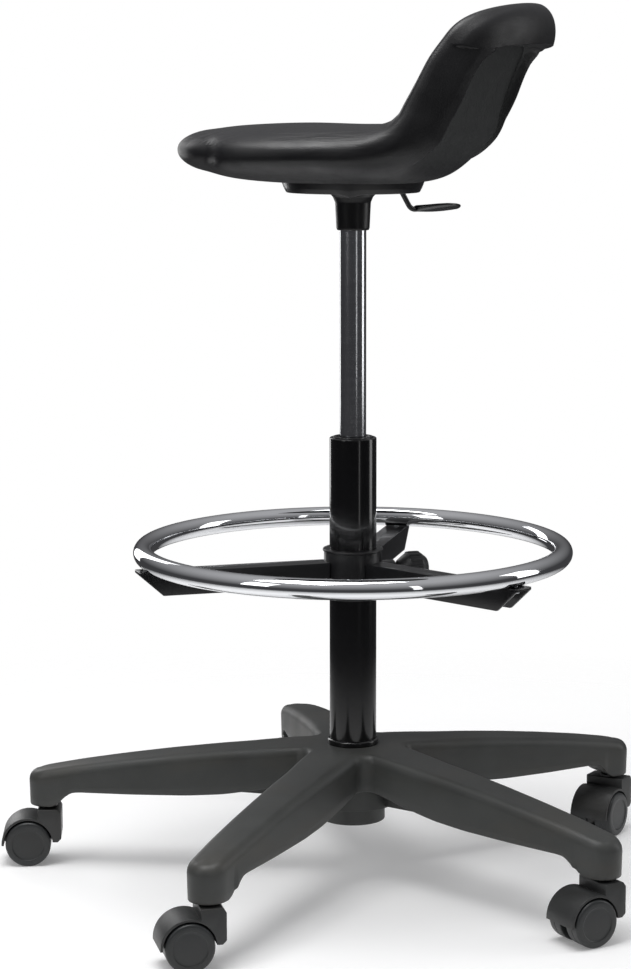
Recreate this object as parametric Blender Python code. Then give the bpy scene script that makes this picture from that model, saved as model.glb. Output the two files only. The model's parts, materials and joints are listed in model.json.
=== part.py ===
"""Drafting chair: moulded seat on a gas lift, with a foot ring and a five-arm base on twin-wheel casters.

Metres, +Z up. The sitter faces -Y. The origin is on the floor, at the centre of the base's footprint.
"""

import math

import bmesh
import bpy
import numpy as np
from mathutils import Matrix, Vector

GAP = 0.0003  # between neighbouring pieces
STEPS = 20  # sides of a large round piece
SMALL_STEPS = 10  # sides of a small round piece

# Column and gas lift
COLUMN_RADIUS = 0.025
COLUMN_WALL = 0.002
COLUMN_BOTTOM = 0.062
COLUMN_TOP = 0.4755
COLUMN_TAPER = 0.0015  # how much the foot of the tube narrows
COLUMN_TAPER_TOP = 0.135
COLUMN_PLATE = 0.004
CYLINDER_RADIUS = 0.014
CYLINDER_WALL = 0.0022
CYLINDER_TAPER = 0.0007
CYLINDER_EXPOSED = 0.220
CYLINDER_ENGAGED = 0.120
SOCKET_LENGTH = 0.0437
BUSH_LENGTH = 0.110
BUSH_LIP = 0.0012
GLAND_HEIGHT = 0.012
ROD_RADIUS = 0.005
ROD_CLEARANCE = 0.0006
HEAD_HEIGHT = 0.015
HEAD_ABOVE_GLAND = 0.005
WASHER_RADIUS = 0.010
WASHER_THICKNESS = 0.0012
BEARING_THICKNESS = 0.0022
ROD_COLLAR_HEIGHT = 0.004
BUFFER_RADIUS = 0.012
BUFFER_HEIGHT = 0.020
CLIP_RADIUS = 0.009
CLIP_THICKNESS = 0.0012
BUTTON_RADIUS = 0.004
BUTTON_LENGTH = 0.0334
BUTTON_TRAVEL = 0.0035

# Seat pan and lever
PAN_FLOOR = 0.002
PAN_SHEET = 0.0025
PAN_BOTTOM_RADIUS = 0.0695
PAN_TOP_RADIUS = 0.0768
PAN_LIP = 0.0045  # how far the rolled rim hangs below the floor
PAN_DEPTH = 0.0095  # from the floor's top to the board
BOARD_RADIUS = 0.0775
BOARD_THICKNESS = 0.010
BOLT_RADIUS = 0.003
BOLT_HEAD_RADIUS = 0.005
BOLT_HEAD_HEIGHT = 0.0032
BOLT_CIRCLE = 0.056
BOLT_IN_BOARD = 0.0065
LEVER_TURN = 142.0  # degrees, the way the lever points
LEVER_RADIUS = 0.00275
LEVER_PIVOT_AT = 0.050
LEVER_ELBOW_AT = 0.0775
LEVER_ELBOW_DROP = 0.0325
LEVER_SLOT_WIDTH = 0.0095
LEVER_EYE_RADIUS = 0.0038
LEVER_EYE_WIDTH = 0.008
PIN_RADIUS = 0.0017
PIN_LENGTH = 0.020
EAR_THICKNESS = 0.002
PADDLE_START = 0.0835
PADDLE_LENGTH = 0.060
PADDLE_WIDTH = 0.029
PADDLE_THICKNESS = 0.0062
PADDLE_ROLL = -17.0
ROD_IN_PADDLE = 0.016

# Foot ring
RING_RADIUS = 0.2235
RING_TUBE = 0.0105
RING_HEIGHT = 0.3541
RING_STEPS = 40
RING_TUBE_STEPS = 8
RING_ARMS = (182.0, 302.0, 62.0)
RING_ARM_WIDTH = 0.025
RING_ARM_DEPTH = 0.0253
RING_ARM_SHEET = 0.003
RING_ARM_END_TOP = 0.235
RING_ARM_END_BOTTOM = 0.210
RING_HUB_RADIUS = 0.031
RING_HUB_BOTTOM = 0.306
RING_HUB_HEIGHT = 0.0475
LINER_WALL = 0.0022
LINER_FLANGE = 0.0025
LINER_FLANGE_RADIUS = 0.0325
HUB_CLEARANCE = 0.0005  # the hub turns on the liner, so their flats must pass each other
SCREW_RADIUS = 0.003
SCREW_HEAD_RADIUS = 0.0052
SCREW_HEAD_HEIGHT = 0.0035
SCREW_IN_RING = 0.009
KNOB_TURN = 122.0
KNOB_HEIGHT = 0.331
KNOB_RADIUS = 0.018
KNOB_START = 0.050
KNOB_END = 0.083
BOSS_RADIUS = 0.010
BOSS_END = 0.046
STUD_RADIUS = 0.004
PAD_RADIUS = 0.006
PAD_THICKNESS = 0.0035

# Base
BASE_RADIUS = 0.3365  # column axis to a caster stem
BASE_TURN = 62.4  # degrees, the first arm
ARM_COUNT = 5
ARM_WALL = 0.0035
ARM_TOP = ((0.0, 0.143), (0.06, 0.1425), (0.10, 0.1395), (0.15, 0.1345), (0.20, 0.1285),
           (0.25, 0.1215), (0.30, 0.1135), (0.3365, 0.1050))
ARM_BOTTOM = ((0.0, 0.0785), (0.06, 0.0785), (0.12, 0.081), (0.18, 0.084), (0.30, 0.084), (0.3365, 0.080))
ARM_HALF_WIDTH = ((0.0, 0.031), (0.06, 0.030), (0.12, 0.0262), (0.20, 0.0245), (0.28, 0.0225), (0.3365, 0.0185))
ARM_FLARE = 0.0018  # how much wider each side is at its foot
HUB_TOP = 0.1433
HUB_RADIUS = 0.062
HUB_SKIRT_BOTTOM = 0.077
HUB_SLEEVE_BOTTOM = 0.060
HUB_SLEEVE_WALL = 0.009
HUB_RING_RADIUS = 0.02725
HUB_RING_HEIGHT = 0.006
TIP_RADIUS = 0.0205
TIP_BOTTOM = 0.0653
TIP_TOP = 0.1055

# Casters
WHEEL_RADIUS = 0.025
WHEEL_WIDTH = 0.0195
WHEEL_STEPS = 20
WHEEL_GAP = 0.0052  # from the middle of the caster to a wheel
CASTER_TRAIL = 0.022
CASTER_TURNS = (316.0, 343.0, 20.0, 289.0, 299.0)  # degrees, the way each caster trails
HOOD_RADIUS = 0.029
HOOD_HALF_WIDTH = 0.0225
HOOD_TOP = 0.0625
HOOD_WELL = 0.0266
HOOD_WEB = 0.0042
HOOD_NECK_FRONT = -0.0140
HOOD_NECK_BACK = 0.006
HOOD_NECK_BOTTOM = 0.026
HOOD_BOSS = 0.0125
STEM_RADIUS = 0.0055
STEM_IN_HOOD = 0.013
STEM_IN_BASE = 0.031
STEM_FLANGE_RADIUS = 0.009
STEM_FLANGE_HEIGHT = 0.0018
AXLE_RADIUS = 0.0031
AXLE_BOSS = 0.0075

MATERIALS = {
    "seat_skin": ((0.012, 0.012, 0.014), 0.42, 0.0),
    "board": ((0.30, 0.22, 0.14), 0.7, 0.0),
    "black_steel": ((0.018, 0.018, 0.020), 0.38, 0.6),
    "zinc_steel": ((0.62, 0.63, 0.65), 0.3, 1.0),
    "column_gloss": ((0.008, 0.008, 0.009), 0.18, 0.1),
    "satin_steel": ((0.66, 0.67, 0.69), 0.22, 1.0),
    "chrome": ((0.86, 0.87, 0.88), 0.06, 1.0),
    "nylon": ((0.045, 0.048, 0.048), 0.5, 0.0),
    "caster_nylon": ((0.028, 0.029, 0.031), 0.45, 0.0),
    "wheel_nylon": ((0.022, 0.023, 0.025), 0.4, 0.0),
    "black_plastic": ((0.015, 0.015, 0.017), 0.35, 0.0),
    "acetal": ((0.55, 0.54, 0.50), 0.45, 0.0),
    "rubber": ((0.02, 0.02, 0.02), 0.8, 0.0),
}

# Heights that follow from the sizes above
CYLINDER_BOTTOM = COLUMN_TOP - CYLINDER_ENGAGED
SOCKET_BOTTOM = COLUMN_TOP + CYLINDER_EXPOSED - 0.001
PAN_UNDERSIDE = SOCKET_BOTTOM + SOCKET_LENGTH + GAP
PAN_FLOOR_TOP = PAN_UNDERSIDE + PAN_FLOOR
PAN_TOP = PAN_FLOOR_TOP + PAN_DEPTH
BOARD_BOTTOM = PAN_TOP + GAP
BOARD_TOP = BOARD_BOTTOM + BOARD_THICKNESS
LEVER_HEIGHT = PAN_FLOOR_TOP + 2 * LEVER_RADIUS
CYLINDER_TOP = SOCKET_BOTTOM + SOCKET_LENGTH - 0.0042
BUTTON_TOP = LEVER_HEIGHT - LEVER_RADIUS - GAP
AXLE_HEIGHT = WHEEL_RADIUS * math.cos(math.pi / WHEEL_STEPS)
RING_ARM_TOP = RING_HEIGHT - RING_TUBE - GAP
LINER_RADIUS = COLUMN_RADIUS + GAP + LINER_WALL
PLATE_TOP = COLUMN_BOTTOM + COLUMN_PLATE


def finish_named(name):
    """The named material, made on first use."""
    found = bpy.data.materials.get(name)
    if found:
        return found
    colour, roughness, metallic = MATERIALS[name]
    made = bpy.data.materials.new(name)
    made.use_nodes = True
    shader = made.node_tree.nodes["Principled BSDF"]
    shader.inputs["Base Color"].default_value = (*colour, 1.0)
    shader.inputs["Roughness"].default_value = roughness
    shader.inputs["Metallic"].default_value = metallic
    return made


def new_object(name, bm):
    """An object that holds the bmesh, with its faces turned outwards."""
    bmesh.ops.recalc_face_normals(bm, faces=bm.faces)
    mesh = bpy.data.meshes.new(name)
    bm.to_mesh(mesh)
    bm.free()
    obj = bpy.data.objects.new(name, mesh)
    bpy.context.scene.collection.objects.link(obj)
    return obj


def turned(name, profile, steps=STEPS):
    """A solid of revolution about Z. The profile is (radius, height) points: a loop, or a run from axis to axis."""
    bm = bmesh.new()
    rings = []
    for radius, height in profile:
        if radius < 1e-7:
            rings.append([bm.verts.new((0, 0, height))] * steps)
            continue
        turns = [2 * math.pi * (k + 0.5) / steps for k in range(steps)]
        rings.append([bm.verts.new((radius * math.cos(t), radius * math.sin(t), height)) for t in turns])
    closed = profile[0][0] > 1e-7
    for i in range(len(rings) if closed else len(rings) - 1):
        low, high = rings[i], rings[(i + 1) % len(rings)]
        for k in range(steps):
            corners = (low[k], low[(k + 1) % steps], high[(k + 1) % steps], high[k])
            face = [v for n, v in enumerate(corners) if v not in corners[:n]]
            if len(face) > 2:
                bm.faces.new(face)
    return new_object(name, bm)


def lofted(name, sections):
    """A solid through closed sections of the same number of points, with flat ends."""
    bm = bmesh.new()
    rings = [[bm.verts.new(point) for point in section] for section in sections]
    count = len(rings[0])
    for low, high in zip(rings, rings[1:]):
        for k in range(count):
            bm.faces.new((low[k], low[(k + 1) % count], high[(k + 1) % count], high[k]))
    bm.faces.new(rings[0])
    bm.faces.new(rings[-1])
    return new_object(name, bm)


def block(name, low, high):
    """A box between two corners."""
    bm = bmesh.new()
    bmesh.ops.create_cube(bm, size=1.0)
    size, middle = Vector(high) - Vector(low), (Vector(high) + Vector(low)) / 2
    bmesh.ops.transform(bm, verts=bm.verts, matrix=Matrix.Translation(middle) @ Matrix.Diagonal((*size, 1.0)))
    return new_object(name, bm)


def rod(name, radius, low, high, steps=SMALL_STEPS):
    """A plain round bar along Z."""
    return turned(name, [(0, low), (radius, low), (radius, high), (0, high)], steps)


def moved(obj, matrix):
    """Moves the object's points, and returns the object."""
    obj.data.transform(matrix)
    return obj


def along_y(obj):
    """Lays a piece that was turned about Z along +Y."""
    return moved(obj, Matrix.Rotation(math.radians(-90), 4, "X"))


def along_x(obj):
    """Lays a piece that was turned about Z along +X."""
    return moved(obj, Matrix.Rotation(math.radians(90), 4, "Y"))


def combine(obj, tool, operation="DIFFERENCE"):
    """Applies a Boolean with the tool, which is then removed."""
    modifier = obj.modifiers.new(operation.lower(), "BOOLEAN")
    modifier.object = tool
    modifier.operation = operation
    bpy.context.view_layer.update()
    graph = bpy.context.evaluated_depsgraph_get()
    made = bpy.data.meshes.new_from_object(obj.evaluated_get(graph))
    obj.modifiers.remove(modifier)
    obj.data = made
    bpy.data.objects.remove(tool)
    return obj


def finish(obj, material, parent, location=(0, 0, 0), turn=0.0):
    """Gives a piece its material and shading, and puts it in its place."""
    obj.data.materials.clear()
    obj.data.materials.append(finish_named(material))
    obj.data.shade_smooth()
    obj.data.set_sharp_from_angle(angle=math.radians(32))
    obj.parent = parent
    obj.location = location
    obj.rotation_euler = (0, 0, math.radians(turn))
    return obj


def empty(name, parent, location, turn=0.0):
    """A frame on a joint's axis for the pieces that move together."""
    made = bpy.data.objects.new(name, None)
    bpy.context.scene.collection.objects.link(made)
    made.parent = parent
    made.location = location
    made.rotation_euler = (0, 0, math.radians(turn))
    return made


def value_at(table, x):
    """Reads a table of (x, value) pairs as a smooth-enough line."""
    return float(np.interp(x, [row[0] for row in table], [row[1] for row in table]))


def arm_angle(index):
    """The direction of a base arm in degrees."""
    return BASE_TURN + index * 360.0 / ARM_COUNT


def footprint_centre():
    """The middle of the casters' box, seen from the column axis."""
    lows, highs = [], []
    for index in range(ARM_COUNT):
        arm, trail = math.radians(arm_angle(index)), math.radians(CASTER_TURNS[index])
        for axis, arm_part in enumerate((math.cos(arm), math.sin(arm))):
            along, across = (math.cos(trail), math.sin(trail))[:: 1 if axis == 0 else -1]
            stem = BASE_RADIUS * arm_part
            middle = stem + CASTER_TRAIL * along
            reach = HOOD_RADIUS * abs(along) + (WHEEL_GAP + WHEEL_WIDTH) * abs(across)
            lows.append((axis, min(middle - reach, stem - TIP_RADIUS)))
            highs.append((axis, max(middle + reach, stem + TIP_RADIUS)))
    return [(min(v for a, v in lows if a == axis) + max(v for a, v in highs if a == axis)) / 2 for axis in (0, 1)]


# ---------------------------------------------------------------- base


def arm_section(radius, inset=0.0, drop=0.0):
    """One cross-section of an arm, square to its length, smaller by inset all round and deeper by drop."""
    top = value_at(ARM_TOP, radius) - inset
    foot = value_at(ARM_BOTTOM, radius) - drop
    half = value_at(ARM_HALF_WIDTH, radius) - inset
    side = ((half + ARM_FLARE, foot), (half, top - 0.010), (half - 0.0015, top - 0.0045),
            (half - 0.006, top - 0.0012), (half * 0.35, top))
    outline = [(y, z) for y, z in side] + [(-y, z) for y, z in reversed(side)]
    return [(radius, y, z) for y, z in outline]


def arm(index):
    """One solid arm along its own direction."""
    stations = (0.036, 0.06, 0.12, 0.20, 0.28, BASE_RADIUS)
    made = lofted(f"arm_{index}", [arm_section(radius) for radius in stations])
    return moved(made, Matrix.Rotation(math.radians(arm_angle(index)), 4, "Z"))


def arm_channel(index):
    """The hollow under an arm."""
    stations = (0.045, 0.12, 0.20, BASE_RADIUS - TIP_RADIUS - ARM_WALL)
    made = lofted(f"channel_{index}", [arm_section(radius, ARM_WALL, 0.02) for radius in stations])
    return moved(made, Matrix.Rotation(math.radians(arm_angle(index)), 4, "Z"))


def arm_tip(index):
    """The round socket at the end of an arm."""
    edge = 0.006
    made = turned(f"tip_{index}", [(0, TIP_BOTTOM), (TIP_RADIUS - 0.001, TIP_BOTTOM), (TIP_RADIUS, TIP_BOTTOM + 0.001),
                                   (TIP_RADIUS, TIP_TOP - edge), (TIP_RADIUS - 0.0018, TIP_TOP - 0.0018),
                                   (TIP_RADIUS - edge, TIP_TOP), (0, TIP_TOP)], 14)
    turn = Matrix.Rotation(math.radians(arm_angle(index)), 4, "Z")
    return moved(made, turn @ Matrix.Translation((BASE_RADIUS, 0, 0)))


def stem_place(index):
    """Where a caster stem stands, seen from the column axis."""
    turn = math.radians(arm_angle(index))
    return BASE_RADIUS * math.cos(turn), BASE_RADIUS * math.sin(turn)


def make_base(root):
    """The five-arm base, its gloss ring, and the caster stems that stand in it."""
    bore_low = COLUMN_RADIUS - COLUMN_TAPER + GAP
    bore = COLUMN_RADIUS + GAP
    base = turned("base", [(0, HUB_SKIRT_BOTTOM), (HUB_RADIUS + ARM_FLARE, HUB_SKIRT_BOTTOM),
                           (HUB_RADIUS, HUB_TOP - 0.012), (HUB_RADIUS - 0.003, HUB_TOP - 0.005),
                           (HUB_RADIUS - 0.012, HUB_TOP), (0, HUB_TOP)], 24)
    for index in range(ARM_COUNT):
        combine(base, arm(index), "UNION")
        combine(base, arm_tip(index), "UNION")
    sleeve = bore_low + HUB_SLEEVE_WALL
    cavity = turned("hub_cavity", [(sleeve, HUB_SKIRT_BOTTOM - 0.02), (HUB_RADIUS - ARM_WALL, HUB_SKIRT_BOTTOM - 0.02),
                                   (HUB_RADIUS - ARM_WALL, HUB_TOP - 0.014), (sleeve, HUB_TOP - 0.010)])
    combine(base, cavity)
    for index in range(ARM_COUNT):
        combine(base, arm_channel(index))
    combine(base, turned("sleeve", [(0, HUB_SLEEVE_BOTTOM), (sleeve + 0.001, HUB_SLEEVE_BOTTOM),
                                    (sleeve + 0.001, HUB_TOP - 0.008), (0, HUB_TOP - 0.008)]), "UNION")
    for index in range(ARM_COUNT):
        x, y = stem_place(index)
        top = TIP_BOTTOM + STEM_IN_BASE + GAP
        socket = rod("socket", STEM_RADIUS + 2 * GAP, TIP_BOTTOM - 0.01, top, 8)
        combine(base, moved(socket, Matrix.Translation((x, y, 0))))
    combine(base, turned("bore", [(0, HUB_SLEEVE_BOTTOM - 0.01), (bore_low, HUB_SLEEVE_BOTTOM - 0.01),
                                  (bore_low, COLUMN_BOTTOM), (bore, COLUMN_TAPER_TOP),
                                  (bore, HUB_TOP + 0.01), (0, HUB_TOP + 0.01)]))
    finish(base, "nylon", root)
    low = HUB_TOP + GAP
    ring = turned("base_hub_ring", [(bore, low), (HUB_RING_RADIUS, low), (HUB_RING_RADIUS, low + 0.003),
                                    (HUB_RING_RADIUS - 0.001, low + HUB_RING_HEIGHT), (bore, low + HUB_RING_HEIGHT)])
    finish(ring, "column_gloss", root)
    for index in range(ARM_COUNT):
        make_stem(root, index)


def make_stem(root, index):
    """The steel stem of one caster, held in the base. Its hood turns on it."""
    low, high = HOOD_TOP - STEM_IN_HOOD, TIP_BOTTOM + STEM_IN_BASE
    flange = HOOD_TOP + GAP
    outline = [(0, low), (STEM_RADIUS, low), (STEM_RADIUS, flange), (STEM_FLANGE_RADIUS, flange),
               (STEM_FLANGE_RADIUS, flange + STEM_FLANGE_HEIGHT), (STEM_RADIUS, flange + STEM_FLANGE_HEIGHT),
               (STEM_RADIUS, high - 0.002), (STEM_RADIUS - 0.002, high), (0, high)]
    x, y = stem_place(index)
    finish(turned(f"caster_{index + 1}_stem", outline, SMALL_STEPS), "zinc_steel", root, (x, y, 0))


# ---------------------------------------------------------------- casters


def make_wheel(name):
    """One wheel on the caster's +Y side, turned about its own axle, with the axle at the origin."""
    edge = WHEEL_WIDTH
    outline = [(0, edge - 0.0035), (AXLE_RADIUS + GAP, edge - 0.0035), (AXLE_RADIUS + GAP, 0),
               (WHEEL_RADIUS - 0.0015, 0), (WHEEL_RADIUS, 0.0015), (WHEEL_RADIUS, edge - 0.0035),
               (WHEEL_RADIUS - 0.0012, edge - 0.0012), (WHEEL_RADIUS - 0.0042, edge), (0, edge - 0.0008)]
    made = turned(name, outline, WHEEL_STEPS)
    moved(made, Matrix.Translation((0, 0, WHEEL_GAP)))
    return along_y(made)


def well(side):
    """The room for one wheel under the hood."""
    made = along_y(rod("well", HOOD_WELL, HOOD_WEB, HOOD_HALF_WIDTH + 0.01, 20))
    if side < 0:
        moved(made, Matrix.Rotation(math.pi, 4, "Z"))
    return moved(made, Matrix.Translation((CASTER_TRAIL, 0, AXLE_HEIGHT)))


def make_hood(name):
    """The fender over both wheels, with its neck, its web and the eye of the axle. The stem's axis is Z."""
    at_axle = Matrix.Translation((CASTER_TRAIL, 0, AXLE_HEIGHT))
    hood = moved(along_y(turned(name, [(0, -HOOD_HALF_WIDTH), (HOOD_RADIUS - 0.003, -HOOD_HALF_WIDTH),
                                       (HOOD_RADIUS, -HOOD_HALF_WIDTH + 0.003), (HOOD_RADIUS, HOOD_HALF_WIDTH - 0.003),
                                       (HOOD_RADIUS - 0.003, HOOD_HALF_WIDTH), (0, HOOD_HALF_WIDTH)], 24)), at_axle)
    half = HOOD_HALF_WIDTH - 0.0021
    neck = [[(HOOD_NECK_FRONT + 0.003, y, HOOD_NECK_BOTTOM), (HOOD_NECK_BACK, y, HOOD_NECK_BOTTOM),
             (HOOD_NECK_BACK, y, HOOD_TOP - 0.008), (HOOD_NECK_FRONT + 0.004, y, HOOD_TOP - 0.004),
             (HOOD_NECK_FRONT, y, HOOD_TOP - 0.010), (HOOD_NECK_FRONT, y, HOOD_NECK_BOTTOM + 0.008)]
            for y in (-half, half)]
    combine(hood, lofted("neck", neck), "UNION")
    combine(hood, rod("boss", HOOD_BOSS, HOOD_TOP - 0.022, HOOD_TOP, 16), "UNION")
    for side in (-1, 1):
        combine(hood, well(side))
    low_cut = AXLE_HEIGHT - 0.0015
    combine(hood, block("skirt", (HOOD_NECK_FRONT - 0.05, -0.05, -0.02), (0.09, 0.05, low_cut)))
    eye = along_y(rod("eye", AXLE_BOSS, -HOOD_WEB - GAP, HOOD_WEB + GAP, 14))
    combine(hood, moved(eye, at_axle), "UNION")
    combine(hood, moved(along_y(rod("axle_hole", AXLE_RADIUS + GAP, -0.03, 0.03)), at_axle))
    combine(hood, rod("stem_hole", STEM_RADIUS + GAP, HOOD_TOP - STEM_IN_HOOD - GAP, HOOD_TOP + 0.01))
    return hood


def make_casters(root):
    """Five casters, each a hood and an axle that swivel on the stem, and two wheels on the axle."""
    for index in range(ARM_COUNT):
        name = f"caster_{index + 1}"
        swivel = empty(f"{name}_swivel", root, (*stem_place(index), 0), CASTER_TURNS[index])
        finish(make_hood(f"{name}_hood"), "caster_nylon", swivel)
        reach = WHEEL_GAP + WHEEL_WIDTH - 0.0041
        axle = along_y(rod(f"{name}_axle", AXLE_RADIUS, -reach, reach))
        at_axle = (CASTER_TRAIL, 0, AXLE_HEIGHT)
        finish(axle, "zinc_steel", swivel, at_axle)
        finish(make_wheel(f"{name}_wheel_left"), "wheel_nylon", swivel, at_axle)
        finish(make_wheel(f"{name}_wheel_right"), "wheel_nylon", swivel, at_axle, 180.0)


# ---------------------------------------------------------------- column and gas lift


def make_column(root):
    """The outer tube, its guide bush, and the parts that stay with it at its foot."""
    low = COLUMN_RADIUS - COLUMN_TAPER
    inner = COLUMN_RADIUS - COLUMN_WALL
    hole = ROD_RADIUS + ROD_CLEARANCE
    tube = turned("column_tube", [(hole, COLUMN_BOTTOM), (low, COLUMN_BOTTOM), (COLUMN_RADIUS, COLUMN_TAPER_TOP),
                                  (COLUMN_RADIUS, COLUMN_TOP - 0.0025), (COLUMN_RADIUS - 0.0008, COLUMN_TOP - 0.0008),
                                  (COLUMN_RADIUS - 0.0022, COLUMN_TOP), (inner - 0.0012, COLUMN_TOP),
                                  (inner - 0.0012, COLUMN_TOP - 0.004), (inner, COLUMN_TOP - 0.004),
                                  (inner, COLUMN_TAPER_TOP), (low - COLUMN_WALL, PLATE_TOP), (hole, PLATE_TOP)])
    finish(tube, "column_gloss", root)
    outer, bore = inner - GAP, CYLINDER_RADIUS + GAP
    top = COLUMN_TOP - 0.004 - GAP
    lip = inner - 0.0012 - GAP
    bush = turned("column_guide_bush", [(bore, COLUMN_TOP - BUSH_LENGTH), (outer, COLUMN_TOP - BUSH_LENGTH),
                                        (outer, top), (lip, top), (lip, COLUMN_TOP + BUSH_LIP),
                                        (bore, COLUMN_TOP + BUSH_LIP)])
    finish(bush, "black_plastic", root)
    washer_low = PLATE_TOP + GAP
    make_disc(root, "thrust_washer", washer_low, WASHER_THICKNESS, "zinc_steel")
    make_disc(root, "thrust_bearing", washer_low + WASHER_THICKNESS + GAP, BEARING_THICKNESS, "acetal")


def make_disc(parent, name, low, height, material, radius=WASHER_RADIUS):
    """A flat ring round the piston rod."""
    bore = ROD_RADIUS + GAP
    outline = [(bore, low), (radius, low), (radius, low + height), (bore, low + height)]
    finish(turned(name, outline, 24), material, parent)


def make_piston(swivel):
    """The piston rod that stands on the foot of the tube, with its head, buffer, washer and clip."""
    upper_washer = PLATE_TOP + WASHER_THICKNESS + BEARING_THICKNESS + 3 * GAP
    collar = upper_washer + WASHER_THICKNESS + GAP
    head_low = CYLINDER_BOTTOM + GLAND_HEIGHT + HEAD_ABOVE_GLAND
    clip_low = COLUMN_BOTTOM - GAP - CLIP_THICKNESS
    piston_rod = turned("piston_rod", [(0, clip_low - 0.0015), (ROD_RADIUS, clip_low - 0.0015), (ROD_RADIUS, collar),
                                       (ROD_RADIUS + 0.003, collar), (ROD_RADIUS + 0.003, collar + ROD_COLLAR_HEIGHT),
                                       (ROD_RADIUS, collar + ROD_COLLAR_HEIGHT), (ROD_RADIUS, head_low + HEAD_HEIGHT),
                                       (0, head_low + HEAD_HEIGHT)], 24)
    finish(piston_rod, "zinc_steel", swivel)
    make_disc(swivel, "rod_washer", upper_washer, WASHER_THICKNESS, "zinc_steel")
    make_disc(swivel, "rod_clip", clip_low, CLIP_THICKNESS, "zinc_steel", CLIP_RADIUS)
    make_disc(swivel, "rod_buffer", collar + ROD_COLLAR_HEIGHT + GAP, BUFFER_HEIGHT, "rubber", BUFFER_RADIUS)
    head_radius = CYLINDER_RADIUS - CYLINDER_WALL - GAP
    make_disc(swivel, "piston_head", head_low, HEAD_HEIGHT - GAP, "acetal", head_radius)


def make_lift(lift):
    """The gas cylinder with its gland, the taper socket on top of it, and the release button."""
    inner = CYLINDER_RADIUS - CYLINDER_WALL
    bore = BUTTON_RADIUS + GAP
    button_low = BUTTON_TOP - BUTTON_LENGTH
    web = button_low - BUTTON_TRAVEL - 0.001
    neck = CYLINDER_RADIUS - CYLINDER_TAPER
    cylinder = turned("gas_cylinder", [(0, web), (bore, web), (bore, CYLINDER_TOP), (neck - 0.001, CYLINDER_TOP),
                                       (neck, CYLINDER_TOP - 0.001), (CYLINDER_RADIUS, SOCKET_BOTTOM),
                                       (CYLINDER_RADIUS, CYLINDER_BOTTOM), (inner, CYLINDER_BOTTOM),
                                       (inner, web - 0.005), (0, web - 0.005)])
    finish(cylinder, "satin_steel", lift)
    gland_low = CYLINDER_BOTTOM + GAP
    make_disc(lift, "cylinder_gland", gland_low, GLAND_HEIGHT, "black_plastic", inner - GAP)
    high = SOCKET_BOTTOM + SOCKET_LENGTH
    socket = turned("seat_socket", [(CYLINDER_RADIUS + GAP, SOCKET_BOTTOM), (0.0168, SOCKET_BOTTOM),
                                    (0.0173, SOCKET_BOTTOM + 0.0005), (0.0188, SOCKET_BOTTOM + 0.0295),
                                    (0.0212, high - 0.0095), (0.0262, high - 0.0045), (0.0262, high),
                                    (neck + GAP, high), (neck + GAP, CYLINDER_TOP - 0.001)])
    finish(socket, "black_steel", lift)
    button = empty("button_slide", lift, (0, 0, 0))
    pin = turned("release_button", [(0, button_low), (BUTTON_RADIUS, button_low), (BUTTON_RADIUS, BUTTON_TOP - 0.001),
                                    (BUTTON_RADIUS - 0.001, BUTTON_TOP), (0, BUTTON_TOP)], SMALL_STEPS)
    finish(pin, "acetal", button)


# ---------------------------------------------------------------- seat pan and lever


def lever_way():
    """The turn that lays +X along the lever."""
    return Matrix.Rotation(math.radians(LEVER_TURN), 4, "Z")


def bolt_places():
    """The four bolts, half-way between the lever's line and the line across it."""
    turns = [math.radians(LEVER_TURN + 45 + 90 * k) for k in range(4)]
    return [(BOLT_CIRCLE * math.cos(t), BOLT_CIRCLE * math.sin(t)) for t in turns]


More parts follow.
